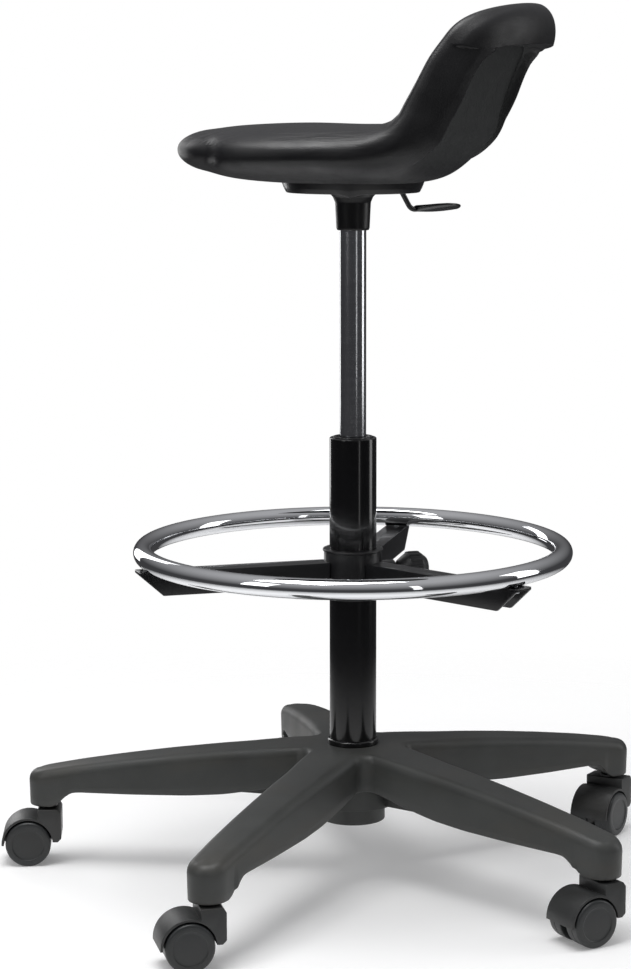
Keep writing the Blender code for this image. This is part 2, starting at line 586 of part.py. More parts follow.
def make_pan(lift):
    """The pressed pan, with two welded ears for the lever's pin, and its bolts."""
    hole = CYLINDER_RADIUS + 0.0032
    rim = PAN_UNDERSIDE - PAN_LIP
    pan = turned("seat_plate", [(hole, PAN_UNDERSIDE), (PAN_BOTTOM_RADIUS - 0.0055, PAN_UNDERSIDE),
                                (PAN_BOTTOM_RADIUS - 0.0030, rim + 0.0004), (PAN_BOTTOM_RADIUS - 0.0015, rim),
                                (PAN_BOTTOM_RADIUS, rim + 0.0006), (PAN_BOTTOM_RADIUS + 0.0008, rim + 0.002),
                                (PAN_TOP_RADIUS, PAN_TOP), (PAN_TOP_RADIUS - PAN_SHEET, PAN_TOP),
                                (PAN_BOTTOM_RADIUS - 0.0015, PAN_FLOOR_TOP), (hole, PAN_FLOOR_TOP)], 30)
    for side in (-1, 1):
        y = side * (LEVER_EYE_WIDTH / 2 + 0.0014 + EAR_THICKNESS / 2)
        ear = block("ear", (LEVER_PIVOT_AT - 0.005, y - EAR_THICKNESS / 2, PAN_FLOOR_TOP - 0.001),
                    (LEVER_PIVOT_AT + 0.005, y + EAR_THICKNESS / 2, PAN_TOP - 0.0005))
        combine(pan, moved(ear, lever_way()), "UNION")
    pin_hole = along_y(rod("pin_hole", PIN_RADIUS + GAP, -0.02, 0.02))
    combine(pan, moved(pin_hole, lever_way() @ Matrix.Translation((LEVER_PIVOT_AT, 0, LEVER_HEIGHT))))
    slot = block("slot", (LEVER_PIVOT_AT - 0.006, -LEVER_SLOT_WIDTH / 2, rim - 0.01),
                 (PAN_TOP_RADIUS + 0.01, LEVER_SLOT_WIDTH / 2, PAN_TOP - 0.0016))
    combine(pan, moved(slot, lever_way()))
    for x, y in bolt_places():
        combine(pan, moved(rod("bolt_hole", BOLT_RADIUS + GAP, rim - 0.01, PAN_TOP), Matrix.Translation((x, y, 0))))
    finish(pan, "black_steel", lift)
    board = rod("seat_board", BOARD_RADIUS, BOARD_BOTTOM, BOARD_TOP, 30)
    for x, y in bolt_places():
        hole_top = BOARD_BOTTOM + BOLT_IN_BOARD + GAP
        combine(board, moved(rod("bolt_hole", BOLT_RADIUS + GAP, BOARD_BOTTOM - 0.01, hole_top),
                             Matrix.Translation((x, y, 0))))
    finish(board, "board", lift)
    head = PAN_UNDERSIDE - GAP
    for number, (x, y) in enumerate(bolt_places(), 1):
        outline = [(0, head - BOLT_HEAD_HEIGHT), (BOLT_HEAD_RADIUS, head - BOLT_HEAD_HEIGHT),
                   (BOLT_HEAD_RADIUS, head), (BOLT_RADIUS, head),
                   (BOLT_RADIUS, BOARD_BOTTOM + BOLT_IN_BOARD), (0, BOARD_BOTTOM + BOLT_IN_BOARD)]
        finish(turned(f"seat_bolt_{number}", outline, 12), "zinc_steel", lift, (x, y, 0))


def lever_points():
    """The rod's middle line, seen from the pivot, with +X along the lever."""
    elbow = (LEVER_ELBOW_AT - LEVER_PIVOT_AT, -LEVER_ELBOW_DROP)
    end = (PADDLE_START + ROD_IN_PADDLE - LEVER_PIVOT_AT, elbow[1] + 0.0012)
    corners = [(-LEVER_PIVOT_AT - 0.004, 0.0), (0.006, 0.0), elbow, end]
    points = [corners[0]]
    for before, corner, after in zip(corners, corners[1:], corners[2:]):
        before, corner, after = Vector(before), Vector(corner), Vector(after)
        start = corner + (before - corner).normalized() * 0.0055
        stop = corner + (after - corner).normalized() * 0.0055
        for k in range(6):
            t = k / 5
            points.append(tuple((1 - t) ** 2 * start + 2 * t * (1 - t) * corner + t * t * stop))
    return points + [corners[-1]]


def make_lever(lift):
    """The bent rod with its eye, the pin that it turns on, and the paddle on its end."""
    pivot = lever_way() @ Vector((LEVER_PIVOT_AT, 0, LEVER_HEIGHT))
    hinge = empty("lever_hinge", lift, pivot, LEVER_TURN)
    sections = []
    points = [Vector((x, 0, z)) for x, z in lever_points()]
    for k, point in enumerate(points):
        ahead = (points[min(k + 1, len(points) - 1)] - points[max(k - 1, 0)]).normalized()
        side = Vector((0, 1, 0))
        over = side.cross(ahead)
        turns = [2 * math.pi * n / 10 for n in range(10)]
        sections.append([point + LEVER_RADIUS * (math.cos(t) * side + math.sin(t) * over) for t in turns])
    bar = lofted("lever_rod", sections)
    half = LEVER_EYE_WIDTH / 2
    combine(bar, along_y(rod("eye", LEVER_EYE_RADIUS, -half, half)), "UNION")
    combine(bar, along_y(rod("eye_hole", PIN_RADIUS + GAP, -0.02, 0.02)))
    finish(bar, "black_steel", hinge)
    pin = along_y(rod("lever_pivot_pin", PIN_RADIUS, -PIN_LENGTH / 2, PIN_LENGTH / 2, 12))
    finish(pin, "zinc_steel", lift, pivot, LEVER_TURN)
    finish(make_paddle(), "black_plastic", hinge)


def make_paddle():
    """The oval paddle, thin at its rim and rolled about the rod."""
    rows = ((0.0, 0.30), (0.06, 0.42), (0.20, 0.66), (0.38, 0.90), (0.58, 1.0), (0.76, 0.92), (0.90, 0.66), (0.985, 0.28))
    sections = []
    for share, fullness in rows:
        half = PADDLE_WIDTH / 2 * fullness
        thick = PADDLE_THICKNESS / 2 * (1.1 - 0.5 * share)
        sections.append([(share * PADDLE_LENGTH, half * math.cos(t), thick * math.sin(t))
                         for t in (2 * math.pi * n / 14 for n in range(14))])
    paddle = lofted("lever_paddle", sections)
    start = PADDLE_START - LEVER_PIVOT_AT
    place = Matrix.Translation((start, 0, -LEVER_ELBOW_DROP + 0.0012))
    moved(paddle, place @ Matrix.Rotation(math.radians(PADDLE_ROLL), 4, "X"))
    rod_room = along_x(rod("rod_room", LEVER_RADIUS + GAP, -0.01, ROD_IN_PADDLE + GAP))
    slope = math.atan2(0.0012, PADDLE_START + ROD_IN_PADDLE - LEVER_ELBOW_AT)
    points = lever_points()
    end = Vector((points[-1][0], 0, points[-1][1]))
    aim = Matrix.Translation(end) @ Matrix.Rotation(-slope, 4, "Y") @ Matrix.Translation((-ROD_IN_PADDLE, 0, 0))
    return combine(paddle, moved(rod_room, aim))


# ---------------------------------------------------------------- seat

# The middle of the moulding from its front lip to the top of the backrest:
# (y, z, half thickness, half width, how far the sides rise, how far the underside's sides rise)
SPINE = (
    (-0.1500, 0.7775, 0.0225, -0.1150, 0.7780, 0.0200, 0.140),
    (-0.1100, 0.7760, 0.0285, -0.0900, 0.7775, 0.0260, 0.164),
    (-0.0600, 0.7755, 0.0310, -0.0520, 0.7775, 0.0290, 0.174),
    (0.0000, 0.7745, 0.0305, 0.0000, 0.7775, 0.0300, 0.175),
    (0.0500, 0.7755, 0.0310, 0.0460, 0.7790, 0.0320, 0.172),
    (0.0920, 0.7800, 0.0340, 0.0770, 0.7880, 0.0345, 0.167),
    (0.1270, 0.7890, 0.0390, 0.0940, 0.8060, 0.0330, 0.162),
    (0.1420, 0.8150, 0.0350, 0.1020, 0.8240, 0.0290, 0.158),
    (0.1540, 0.8420, 0.0290, 0.1115, 0.8440, 0.0265, 0.155),
    (0.1665, 0.8680, 0.0240, 0.1220, 0.8660, 0.0260, 0.150),
    (0.1790, 0.8920, 0.0215, 0.1345, 0.8850, 0.0255, 0.143),
)
LIP_REACH = 0.032  # from the first point of the spine to the front
CREST_REACH = 0.039  # from the last point of the spine to the top
END_WIDTH = 0.5  # how wide the rounded ends get at their tips, as a share
SQUARE_ACROSS = 0.62  # 1 is an ellipse, and less is boxier
SQUARE_THICK = 0.80
RECESS_DEPTH = 0.009  # the hollow in the rear of the backrest
RECESS_WIDTH = 0.84  # as a share of the seat's width there
RECESS_START = 0.48  # the share of the spine where the hollow begins
RECESS_FADE = 0.15
RECESS_CAP = 0.16  # where its upper edge lies in the rounded top
SPINE_ROWS = 16
SIDE_TURNS = (7.5, 22.5, 37.5, 52.5, 67.5, 82.5)  # degrees up from the side, to the middle of the front
REAR_TURNS = (7.5, 22.5, None, 60.0, 82.5)  # the same for the rear, with the recess edge at None


def spline(values, where):
    """A smooth curve through evenly numbered values, read at where."""
    last = len(values) - 1
    k = min(int(where), last - 1)
    t = where - k
    before = values[k - 1] if k else 2 * values[0] - values[1]
    after = values[k + 2] if k + 2 <= last else 2 * values[last] - values[last - 1]
    a, b, c, d = before, values[k], values[k + 1], after
    return b + 0.5 * t * (c - a + t * (2 * a - 5 * b + 4 * c - d + t * (3 * (b - c) + d - a)))


def spine_at(where, side):
    """The spine's y, height and half thickness there. side is 0 in the middle of the seat and 1 at its sides."""
    middle = [spline([row[n] for row in SPINE], where) for n in (0, 1, 2)]
    edge = [spline([row[n] for row in SPINE], where) for n in (3, 4, 5)]
    return [a + (b - a) * side for a, b in zip(middle, edge)]


def seat_point(share, cap, turn):
    """A point of the seat's skin. cap is 0 on the body and runs to 1 at the tip of a rounded end."""
    across = math.copysign(abs(math.cos(turn)) ** SQUARE_ACROSS, math.cos(turn))
    over = math.copysign(abs(math.sin(turn)) ** SQUARE_THICK, math.sin(turn))
    last = len(SPINE) - 1
    where = share * last
    y, z, half = spine_at(where, across ** 2)
    near = spine_at(max(where - 0.2, 0), across ** 2)
    far = spine_at(min(where + 0.2, last), across ** 2)
    ahead = Vector((0, far[0] - near[0], far[1] - near[1])).normalized()
    up = Vector((0, -ahead.z, ahead.y))
    reach = CREST_REACH if share >= 1 else -LIP_REACH
    shrink = math.sqrt(1 - cap * cap)
    width = spline([row[6] for row in SPINE], where) * (END_WIDTH + (1 - END_WIDTH) * shrink)
    inside = over < 0 and abs(across) < RECESS_WIDTH and (share < 1 or cap < RECESS_CAP)
    fade = min(max((share - RECESS_START) / RECESS_FADE, 0.0), 1.0)
    hollow = RECESS_DEPTH * fade * fade * (3 - 2 * fade) if inside else 0.0
    return Vector((across * width, y, z)) + ahead * (reach * cap) + up * (over * half * shrink + hollow)


def seat_turns():
    """The angles of a section's points, round from one side over the front, and back over the rear."""
    edge = math.degrees(math.acos(RECESS_WIDTH ** (1 / SQUARE_ACROSS)))
    rear = [pair for turn in REAR_TURNS for pair in ((turn,) if turn else (edge - 0.6, edge + 0.6))]
    half = list(SIDE_TURNS) + [180 - turn for turn in reversed(SIDE_TURNS)]
    half += [180 + turn for turn in rear] + [360 - turn for turn in reversed(rear)]
    return [math.radians(turn) for turn in half]


def seat_rows():
    """The rows of the skin, as (share of the spine, cap)."""
    rows = [(0.0, cap) for cap in (0.985, 0.88, 0.62, 0.30)]
    rows += [(k / SPINE_ROWS, 0.0) for k in range(SPINE_ROWS + 1)]
    return rows + [(1.0, cap) for cap in (RECESS_CAP - 0.02, RECESS_CAP + 0.02, 0.45, 0.70, 0.90, 0.985)]


def make_seat(lift):
    """The one-piece moulded seat, with the hollow in its back and the pocket for its board."""
    bm = bmesh.new()
    rings = [[bm.verts.new(seat_point(share, cap, turn)) for turn in seat_turns()] for share, cap in seat_rows()]
    count = len(rings[0])
    for low, high in zip(rings, rings[1:]):
        for k in range(count):
            bm.faces.new((low[k], low[(k + 1) % count], high[(k + 1) % count], high[k]))
    for ring in (rings[0], rings[-1]):
        for k in range(count // 2 - 1):
            bm.faces.new((ring[k], ring[k + 1], ring[count - 2 - k], ring[count - 1 - k]))
    seat = new_object("seat_pad", bm)
    combine(seat, rod("pocket", BOARD_RADIUS + 0.001, 0.70, BOARD_TOP + GAP, 30))
    finish(seat, "seat_skin", lift)


# ---------------------------------------------------------------- foot ring


def ring_arm(turn):
    """One inverted channel from the hub to under the ring, with a slanted end."""
    top, low = RING_ARM_TOP, RING_ARM_TOP - RING_ARM_DEPTH
    start = RING_HUB_RADIUS - 0.0015
    outline = ((start, low), (RING_ARM_END_BOTTOM, low), (RING_ARM_END_TOP, top - 0.003),
               (RING_ARM_END_TOP, top), (start, top))
    half = RING_ARM_WIDTH / 2
    bar = lofted("ring_arm", [[(x, y, z) for x, z in outline] for y in (-half, half)])
    hollow = block("hollow", (RING_HUB_RADIUS + 0.003, -half + RING_ARM_SHEET, low - 0.01),
                   (RING_ARM_END_TOP + 0.01, half - RING_ARM_SHEET, top - RING_ARM_SHEET))
    combine(bar, hollow)
    combine(bar, moved(rod("screw_hole", SCREW_RADIUS + GAP, low, top + 0.01), Matrix.Translation((RING_RADIUS, 0, 0))))
    return moved(bar, Matrix.Rotation(math.radians(turn), 4, "Z"))


def make_footring(slide, swivel):
    """The liner that slides on the column, and the hub, ring and screws that turn on the liner."""
    low, high = RING_HUB_BOTTOM - GAP - LINER_FLANGE, RING_HUB_BOTTOM + RING_HUB_HEIGHT + GAP
    bore = COLUMN_RADIUS + GAP
    liner = turned("footring_liner", [(bore, low), (RING_HUB_RADIUS - 0.001, low),
                                      (RING_HUB_RADIUS - 0.001, low + LINER_FLANGE), (LINER_RADIUS, low + LINER_FLANGE),
                                      (LINER_RADIUS, high), (LINER_FLANGE_RADIUS, high),
                                      (LINER_FLANGE_RADIUS, high + LINER_FLANGE), (bore, high + LINER_FLANGE)])
    finish(liner, "black_plastic", slide)
    inner = LINER_RADIUS + HUB_CLEARANCE
    top = RING_HUB_BOTTOM + RING_HUB_HEIGHT
    hub = turned("footring_hub", [(inner, RING_HUB_BOTTOM), (RING_HUB_RADIUS, RING_HUB_BOTTOM),
                                  (RING_HUB_RADIUS, top), (inner, top)])
    for turn in RING_ARMS:
        combine(hub, ring_arm(turn), "UNION")
    aim = Matrix.Rotation(math.radians(KNOB_TURN), 4, "Z") @ Matrix.Translation((0, 0, KNOB_HEIGHT))
    boss = along_x(rod("boss", BOSS_RADIUS, inner + 0.001, BOSS_END, 20))
    combine(hub, moved(boss, aim), "UNION")
    combine(hub, moved(along_x(rod("stud_hole", STUD_RADIUS + GAP, 0.02, 0.06)), aim))
    pad_end = LINER_RADIUS + 0.0006 + PAD_THICKNESS + 0.004
    combine(hub, moved(along_x(rod("pad_hole", PAD_RADIUS + GAP, 0.02, pad_end)), aim))
    finish(hub, "black_steel", swivel)
    bm = bmesh.new()
    turns = [2 * math.pi * k / RING_STEPS for k in range(RING_STEPS)]
    rings = [[bm.verts.new(((RING_RADIUS + RING_TUBE * math.cos(s)) * math.cos(t),
                            (RING_RADIUS + RING_TUBE * math.cos(s)) * math.sin(t),
                            RING_HEIGHT + RING_TUBE * math.sin(s)))
              for s in (2 * math.pi * n / RING_TUBE_STEPS for n in range(RING_TUBE_STEPS))] for t in turns]
    for k, low_ring in enumerate(rings):
        high_ring = rings[(k + 1) % len(rings)]
        for n in range(RING_TUBE_STEPS):
            after = (n + 1) % RING_TUBE_STEPS
            bm.faces.new((low_ring[n], low_ring[after], high_ring[after], high_ring[n]))
    ring = new_object("footring", bm)
    head = RING_ARM_TOP - RING_ARM_SHEET - GAP
    tip = RING_ARM_TOP + SCREW_IN_RING
    for turn in RING_ARMS:
        place = Matrix.Rotation(math.radians(turn), 4, "Z") @ Matrix.Translation((RING_RADIUS, 0, 0))
        combine(ring, moved(rod("thread", SCREW_RADIUS + GAP, head, tip + GAP, 12), place))
    finish(ring, "chrome", swivel)
    for number, turn in enumerate(RING_ARMS, 1):
        outline = [(0, head - SCREW_HEAD_HEIGHT), (SCREW_HEAD_RADIUS - 0.001, head - SCREW_HEAD_HEIGHT),
                   (SCREW_HEAD_RADIUS, head - SCREW_HEAD_HEIGHT + 0.001), (SCREW_HEAD_RADIUS, head),
                   (SCREW_RADIUS, head), (SCREW_RADIUS, tip), (0, tip)]
        x, y = (RING_RADIUS * f(math.radians(turn)) for f in (math.cos, math.sin))
        finish(turned(f"footring_screw_{number}", outline, 12), "zinc_steel", swivel, (x, y, 0))


def make_clamp(swivel):
    """The clamp screw: its pad slides, and its knob and stud turn behind the pad. Both are on the screw's axis."""
    axis = empty("clamp_axis", swivel, (0, 0, KNOB_HEIGHT), KNOB_TURN)
    pad_start = LINER_RADIUS + 0.0006
    pad_end = pad_start + PAD_THICKNESS
    finish(along_x(rod("clamp_pad", PAD_RADIUS, pad_start, pad_end)), "acetal", axis)
    depth = 0.012
    stud = along_x(rod("clamp_stud", STUD_RADIUS, pad_end + GAP, KNOB_START + depth - GAP))
    finish(stud, "zinc_steel", axis)
    knob = turned("clamp_knob", [(0, KNOB_START + depth), (STUD_RADIUS + GAP, KNOB_START + depth),
                                 (STUD_RADIUS + GAP, KNOB_START), (0.009, KNOB_START), (KNOB_RADIUS - 0.003, KNOB_START + 0.007),
                                 (KNOB_RADIUS, KNOB_START + 0.011), (KNOB_RADIUS, KNOB_END - 0.009),
                                 (KNOB_RADIUS - 0.0025, KNOB_END - 0.003), (KNOB_RADIUS - 0.008, KNOB_END),
                                 (0, KNOB_END + 0.0005)], 24)
    finish(along_x(knob), "black_plastic", axis)


def main():
    """Clears the scene and builds the chair round the column's axis."""
    for obj in list(bpy.data.objects):
        bpy.data.objects.remove(obj)
    middle_x, middle_y = footprint_centre()
    root = empty("column_axis", None, (-middle_x, -middle_y, 0))
    make_base(root)
    make_casters(root)
    make_column(root)
    seat_swivel = empty("seat_swivel", root, (0, 0, 0))
    make_piston(seat_swivel)
    lift = empty("seat_lift", seat_swivel, (0, 0, 0))
    make_lift(lift)
    make_pan(lift)
    make_lever(lift)
    make_seat(lift)
    ring_slide = empty("footring_slide", root, (0, 0, 0))
    ring_swivel = empty("footring_swivel", ring_slide, (0, 0, 0))
    make_footring(ring_slide, ring_swivel)
    make_clamp(ring_swivel)


main()
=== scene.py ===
"""Drafting chair: the finished look of a moulded seat on a gas lift, with a chrome foot ring and a five-arm base.

Every piece is made in metres about the column's axis, with the sitter facing -Y, and is then set on that axis.
"""

import json
import logging
import math
from dataclasses import dataclass
from enum import Enum
from typing import Sequence

import bmesh
import bpy
import numpy as np
from mathutils import Matrix, Vector

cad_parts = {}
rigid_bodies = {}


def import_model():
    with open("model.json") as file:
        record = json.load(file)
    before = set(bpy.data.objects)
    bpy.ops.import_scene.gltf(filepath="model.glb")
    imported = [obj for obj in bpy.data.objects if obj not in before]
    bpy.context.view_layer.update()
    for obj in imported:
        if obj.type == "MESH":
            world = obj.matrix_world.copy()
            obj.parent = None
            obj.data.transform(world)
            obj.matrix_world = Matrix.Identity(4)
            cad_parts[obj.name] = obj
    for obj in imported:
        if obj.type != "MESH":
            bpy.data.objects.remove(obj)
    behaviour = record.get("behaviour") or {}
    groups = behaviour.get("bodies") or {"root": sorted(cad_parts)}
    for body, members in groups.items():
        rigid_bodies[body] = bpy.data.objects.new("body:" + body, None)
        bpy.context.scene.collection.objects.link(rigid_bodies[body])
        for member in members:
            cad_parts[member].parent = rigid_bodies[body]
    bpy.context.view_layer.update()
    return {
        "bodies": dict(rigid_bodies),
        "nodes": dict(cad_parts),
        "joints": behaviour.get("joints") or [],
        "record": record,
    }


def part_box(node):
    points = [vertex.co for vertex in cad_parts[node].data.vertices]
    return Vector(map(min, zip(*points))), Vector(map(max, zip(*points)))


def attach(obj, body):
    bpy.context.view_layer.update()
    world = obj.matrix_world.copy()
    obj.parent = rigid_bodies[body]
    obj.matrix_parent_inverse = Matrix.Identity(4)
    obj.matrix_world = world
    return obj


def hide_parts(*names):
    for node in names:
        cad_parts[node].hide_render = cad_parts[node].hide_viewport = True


log = logging.getLogger("drafting_chair")

Profile = list[tuple[float, float]]
Colour = tuple[float, float, float]


class Slot(Enum):
    """The record's material slots."""

    SEAT = "seat_skin"
    BOARD = "board"
    BLACK_STEEL = "black_steel"
    ZINC = "zinc_steel"
    LACQUER = "column_gloss"
    GROUND = "satin_steel"
    CHROME = "chrome"
    NYLON = "nylon"
    CASTER = "caster_nylon"
    WHEEL = "wheel_nylon"
    BLACK_PLASTIC = "black_plastic"
    ACETAL = "acetal"
    RUBBER = "rubber"


# ---------------------------------------------------------------- finishes


class Bench:
    """A material being put together, node by node."""

    def __init__(self, name: str) -> None:
        """Starts a material with a plain shader.

        Args:
            name: The material's name.
        """
        self.material = bpy.data.materials.new(name)
        self.material.use_nodes = True
        self.nodes = self.material.node_tree.nodes
        self.links = self.material.node_tree.links
        self.shader = self.nodes["Principled BSDF"]
        self.place = self.nodes.new("ShaderNodeTexCoord").outputs["Object"]

    def put(self, kind: str, values: dict[str | int, object], **settings: object) -> bpy.types.Node:
        """Adds a node.

        Args:
            kind: The node's type name.
            values: Input name or number, to a number, a colour or the socket that feeds it.
            settings: The node's own properties.

        Returns:
            The node.
        """
        node = self.nodes.new(kind)
        for key, value in settings.items():
            setattr(node, key, value)
        for key, value in values.items():
            if isinstance(value, bpy.types.NodeSocket):
                self.links.new(value, node.inputs[key])
            else:
                node.inputs[key].default_value = value
        return node

    def stretched(self, stretch: Sequence[float]) -> bpy.types.NodeSocket:
        """The place on the piece, scaled by stretch along each way."""
        return self.put("ShaderNodeMapping", {"Vector": self.place, "Scale": tuple(stretch)}).outputs["Vector"]

    def noise(self, scale: float, detail: float = 4.0, stretch: Sequence[float] = (1, 1, 1)) -> bpy.types.NodeSocket:
        """Soft noise from 0 to 1, with scale patches to a metre."""
        values = {"Vector": self.stretched(stretch), "Scale": scale, "Detail": detail}
        return self.put("ShaderNodeTexNoise", values).outputs["Fac"]

    def cells(self, scale: float, stretch: Sequence[float] = (1, 1, 1)) -> bpy.types.NodeSocket:
        """Height of a pebbled grain: 0 in the furrows between cells."""
        values = {"Vector": self.stretched(stretch), "Scale": scale, "Randomness": 0.9}
        return self.put("ShaderNodeTexVoronoi", values, feature="DISTANCE_TO_EDGE").outputs["Distance"]

    def spread(self, value: bpy.types.NodeSocket, low: float, high: float, start: float = 0.0,
               end: float = 1.0) -> bpy.types.NodeSocket:
        """Moves a value from start..end to low..high.

        Args:
            value: What to move.
            low: The result at start.
            high: The result at end.
            start: The least value read.
            end: The greatest value read.

        Returns:
            The result, held between low and high.
        """
        values = {"Value": value, "From Min": start, "From Max": end, "To Min": low, "To Max": high}
        return self.put("ShaderNodeMapRange", values).outputs["Result"]

    def sums(self, operation: str, first: object, second: object) -> bpy.types.NodeSocket:
        """One sum on two values."""
        return self.put("ShaderNodeMath", {0: first, 1: second}, operation=operation).outputs["Value"]

    def shade(self, share: bpy.types.NodeSocket, first: Colour, second: Colour) -> bpy.types.NodeSocket:
        """A colour between two, by share."""
        values = {"Factor": share, 6: (*first, 1.0), 7: (*second, 1.0)}
        return self.put("ShaderNodeMix", values, data_type="RGBA").outputs[2]

    def attribute(self, name: str) -> bpy.types.NodeSocket:
        """A number stored on the piece's points."""
        return self.put("ShaderNodeAttribute", {}, attribute_name=name).outputs["Fac"]

    def feed(self, name: str, value: bpy.types.NodeSocket) -> None:
        """Links a value to an input of the shader."""
        self.links.new(value, self.shader.inputs[name])

    def relief(self, height: bpy.types.NodeSocket, depth: float, before: bpy.types.NodeSocket | None = None,
               strength: float = 1.0) -> bpy.types.NodeSocket:
        """A bump of the given depth in metres, on top of another bump if there is one.

        Args:
            height: The height, from 0 to 1.
            depth: What a height of 1 stands for, in metres.
            before: The bump below it.
            strength: How much of it shows.

        Returns:
            The bumped normal.
        """
        values: dict[str | int, object] = {"Height": height, "Distance": depth, "Strength": strength}
        if before is not None:
            values["Normal"] = before
        return self.put("ShaderNodeBump", values).outputs["Normal"]


@dataclass(frozen=True)
class Finish:
    """A finish with its colour and gloss. Each kind adds its own grain."""

    name: str
    tint: Colour
    roughness: float
    metallic: float = 0.0
    coat: float = 0.0
    gloss: float = 0.5

    def material(self) -> bpy.types.Material:
        """The material, made on first use."""
        found = bpy.data.materials.get(self.name)
        if found:
            return found
        bench = Bench(self.name)
        inputs = bench.shader.inputs
        inputs["Base Color"].default_value = (*self.tint, 1.0)
        inputs["Roughness"].default_value = self.roughness
        inputs["Metallic"].default_value = self.metallic
        inputs["Coat Weight"].default_value = self.coat
        inputs["Coat Roughness"].default_value = 0.06
        inputs["Specular IOR Level"].default_value = self.gloss
        self.dress(bench)
        return bench.material

    def darker(self, share: float) -> Colour:
        """The tint, multiplied by share."""
        return tuple(channel * share for channel in self.tint)

    def dress(self, bench: Bench) -> None:
        """Adds the mottle and the orange peel of sprayed paint."""
        mottle = bench.noise(9.0, 5.0)
        bench.feed("Base Color", bench.shade(mottle, self.darker(0.85), self.darker(1.2)))
        bench.feed("Roughness", bench.spread(bench.noise(55.0), self.roughness * 0.88, self.roughness * 1.18))
        bench.feed("Normal", bench.relief(bench.noise(700.0, 2.0), 0.00003))


@dataclass(frozen=True)
class MouldedSkin(Finish):
    """The leather-grained skin of the foam seat, smoother and duller in the hollow of its back, whose floor is
    painted a paler grey as painted light.
    """

    # Painted light: the paler grey painted on the hollow's floor stands in for light bounced onto the back of the
    # seat.
    hollow_painted_light: Colour = (0.030, 0.032, 0.032)

    def dress(self, bench: Bench) -> None:
        """Adds pebbled grain, fine wrinkles where the skin is folded, a duller hollow, and painted light: the
        hollow's floor painted a paler grey.
        """
        panel = bench.attribute("panel")
        mottle = bench.noise(14.0, 6.0)
        skin = bench.shade(mottle, self.darker(0.75), self.darker(1.35))
        # Painted light: the skin colour is blended into a paler grey on the hollow's floor.
        values = {"Factor": panel, 6: skin, 7: (*self.hollow_painted_light, 1.0)}
        bench.feed("Base Color", bench.put("ShaderNodeMix", values, data_type="RGBA").outputs[2])
        worn = bench.spread(bench.noise(38.0, 5.0), self.roughness * 0.80, self.roughness * 1.25, 0.3, 0.7)
        rough = bench.sums("ADD", worn, bench.sums("MULTIPLY", panel, 0.20))
        bench.feed("Roughness", rough)
        grain = bench.relief(bench.spread(bench.cells(620.0), 0.0, 1.0, 0.0, 0.35), 0.00012, strength=0.55)
        fine = bench.relief(bench.noise(2600.0, 2.0), 0.00003, grain, 0.7)
        lines = bench.noise(150.0, 5.0, (1.0, 0.16, 1.0))
        lines = bench.spread(lines, 0.0, 1.0, 0.44, 0.56)
        folds = bench.sums("MULTIPLY", lines, bench.attribute("wrinkle"))
        bench.feed("Normal", bench.relief(folds, 0.0007, fine))


@dataclass(frozen=True)
class SparkedNylon(Finish):
    """Glass-filled nylon from a spark-textured mould, paler where it is rubbed."""

    rub: float = 1.5
    grain: float = 1400.0

    def dress(self, bench: Bench) -> None:
        """Adds the mould's fine texture, slow mottle, faint flow marks and dust."""
        mottle = bench.noise(22.0, 7.0)
        streaks = bench.noise(9.0, 5.0, (1.0, 1.0, 3.0))
        body = bench.shade(bench.spread(mottle, 0.0, 1.0, 0.3, 0.7), self.darker(0.86), self.darker(1.14))
        warm = (self.tint[0] * 1.25, self.tint[1] * 1.08, self.tint[2] * 0.92)
        values = {"Factor": bench.spread(streaks, 0.0, 0.5, 0.5, 0.75), 6: body, 7: (*warm, 1.0)}
        body = bench.put("ShaderNodeMix", values, data_type="RGBA").outputs[2]
        specks = bench.spread(bench.noise(900.0, 3.0), 0.0, 0.55, 0.62, 0.76)
        values = {"Factor": specks, 6: body, 7: (*self.darker(self.rub), 1.0)}
        bench.feed("Base Color", bench.put("ShaderNodeMix", values, data_type="RGBA").outputs[2])
        bench.feed("Roughness", bench.spread(mottle, self.roughness * 0.88, self.roughness * 1.14, 0.3, 0.7))
        coarse = bench.relief(bench.noise(self.grain, 3.0), 0.00010, strength=0.6)
        bench.feed("Normal", bench.relief(bench.noise(self.grain * 3.0, 1.0), 0.00003, coarse, 0.6))


@dataclass(frozen=True)
class Lacquer(Finish):
    """Gloss black lacquer on a drawn tube."""

    def dress(self, bench: Bench) -> None:
        """Adds a slow wave in the gloss and a little dust."""
        dust = bench.spread(bench.noise(1100.0, 2.0), 0.0, 0.35, 0.66, 0.80)
        bench.feed("Base Color", bench.shade(dust, self.tint, (0.06, 0.06, 0.058)))
        bench.feed("Roughness", bench.spread(bench.noise(30.0), self.roughness * 0.8, self.roughness * 1.3))
        bench.feed("Normal", bench.relief(bench.noise(160.0, 2.0, (1, 1, 0.4)), 0.00002))


@dataclass(frozen=True)
class GroundSteel(Finish):
    """Steel ground round and round on a lathe or a centreless grinder."""

    ring_scale: float = 1500.0

    def dress(self, bench: Bench) -> None:
        """Adds the fine rings that grinding leaves, and a thin film of oil."""
        rings = bench.noise(self.ring_scale, 3.0, (0.02, 0.02, 1.0))
        film = bench.noise(24.0, 5.0, (1.0, 1.0, 0.25))
        bench.feed("Base Color", bench.shade(film, self.darker(0.90), self.darker(1.04)))
        rough = bench.spread(rings, self.roughness * 0.75, self.roughness * 1.35, 0.3, 0.7)
        bench.feed("Roughness", rough)
        bench.feed("Normal", bench.relief(rings, 0.000012, strength=0.7))


@dataclass(frozen=True)
class Plated(Finish):
    """Bright plating over polished steel."""

    def dress(self, bench: Bench) -> None:
        """Adds the faint haze and scratches of handled plating."""
        haze = bench.noise(30.0, 6.0)
        scratches = bench.spread(bench.noise(420.0, 2.0, (1.0, 0.06, 1.0)), 0.0, 1.0, 0.68, 0.78)
        rough = bench.spread(haze, self.roughness * 0.6, self.roughness * 1.6, 0.3, 0.7)
        bench.feed("Roughness", bench.sums("ADD", rough, bench.sums("MULTIPLY", scratches, 0.05)))
        bench.feed("Base Color", bench.shade(haze, self.darker(0.97), self.darker(1.02)))


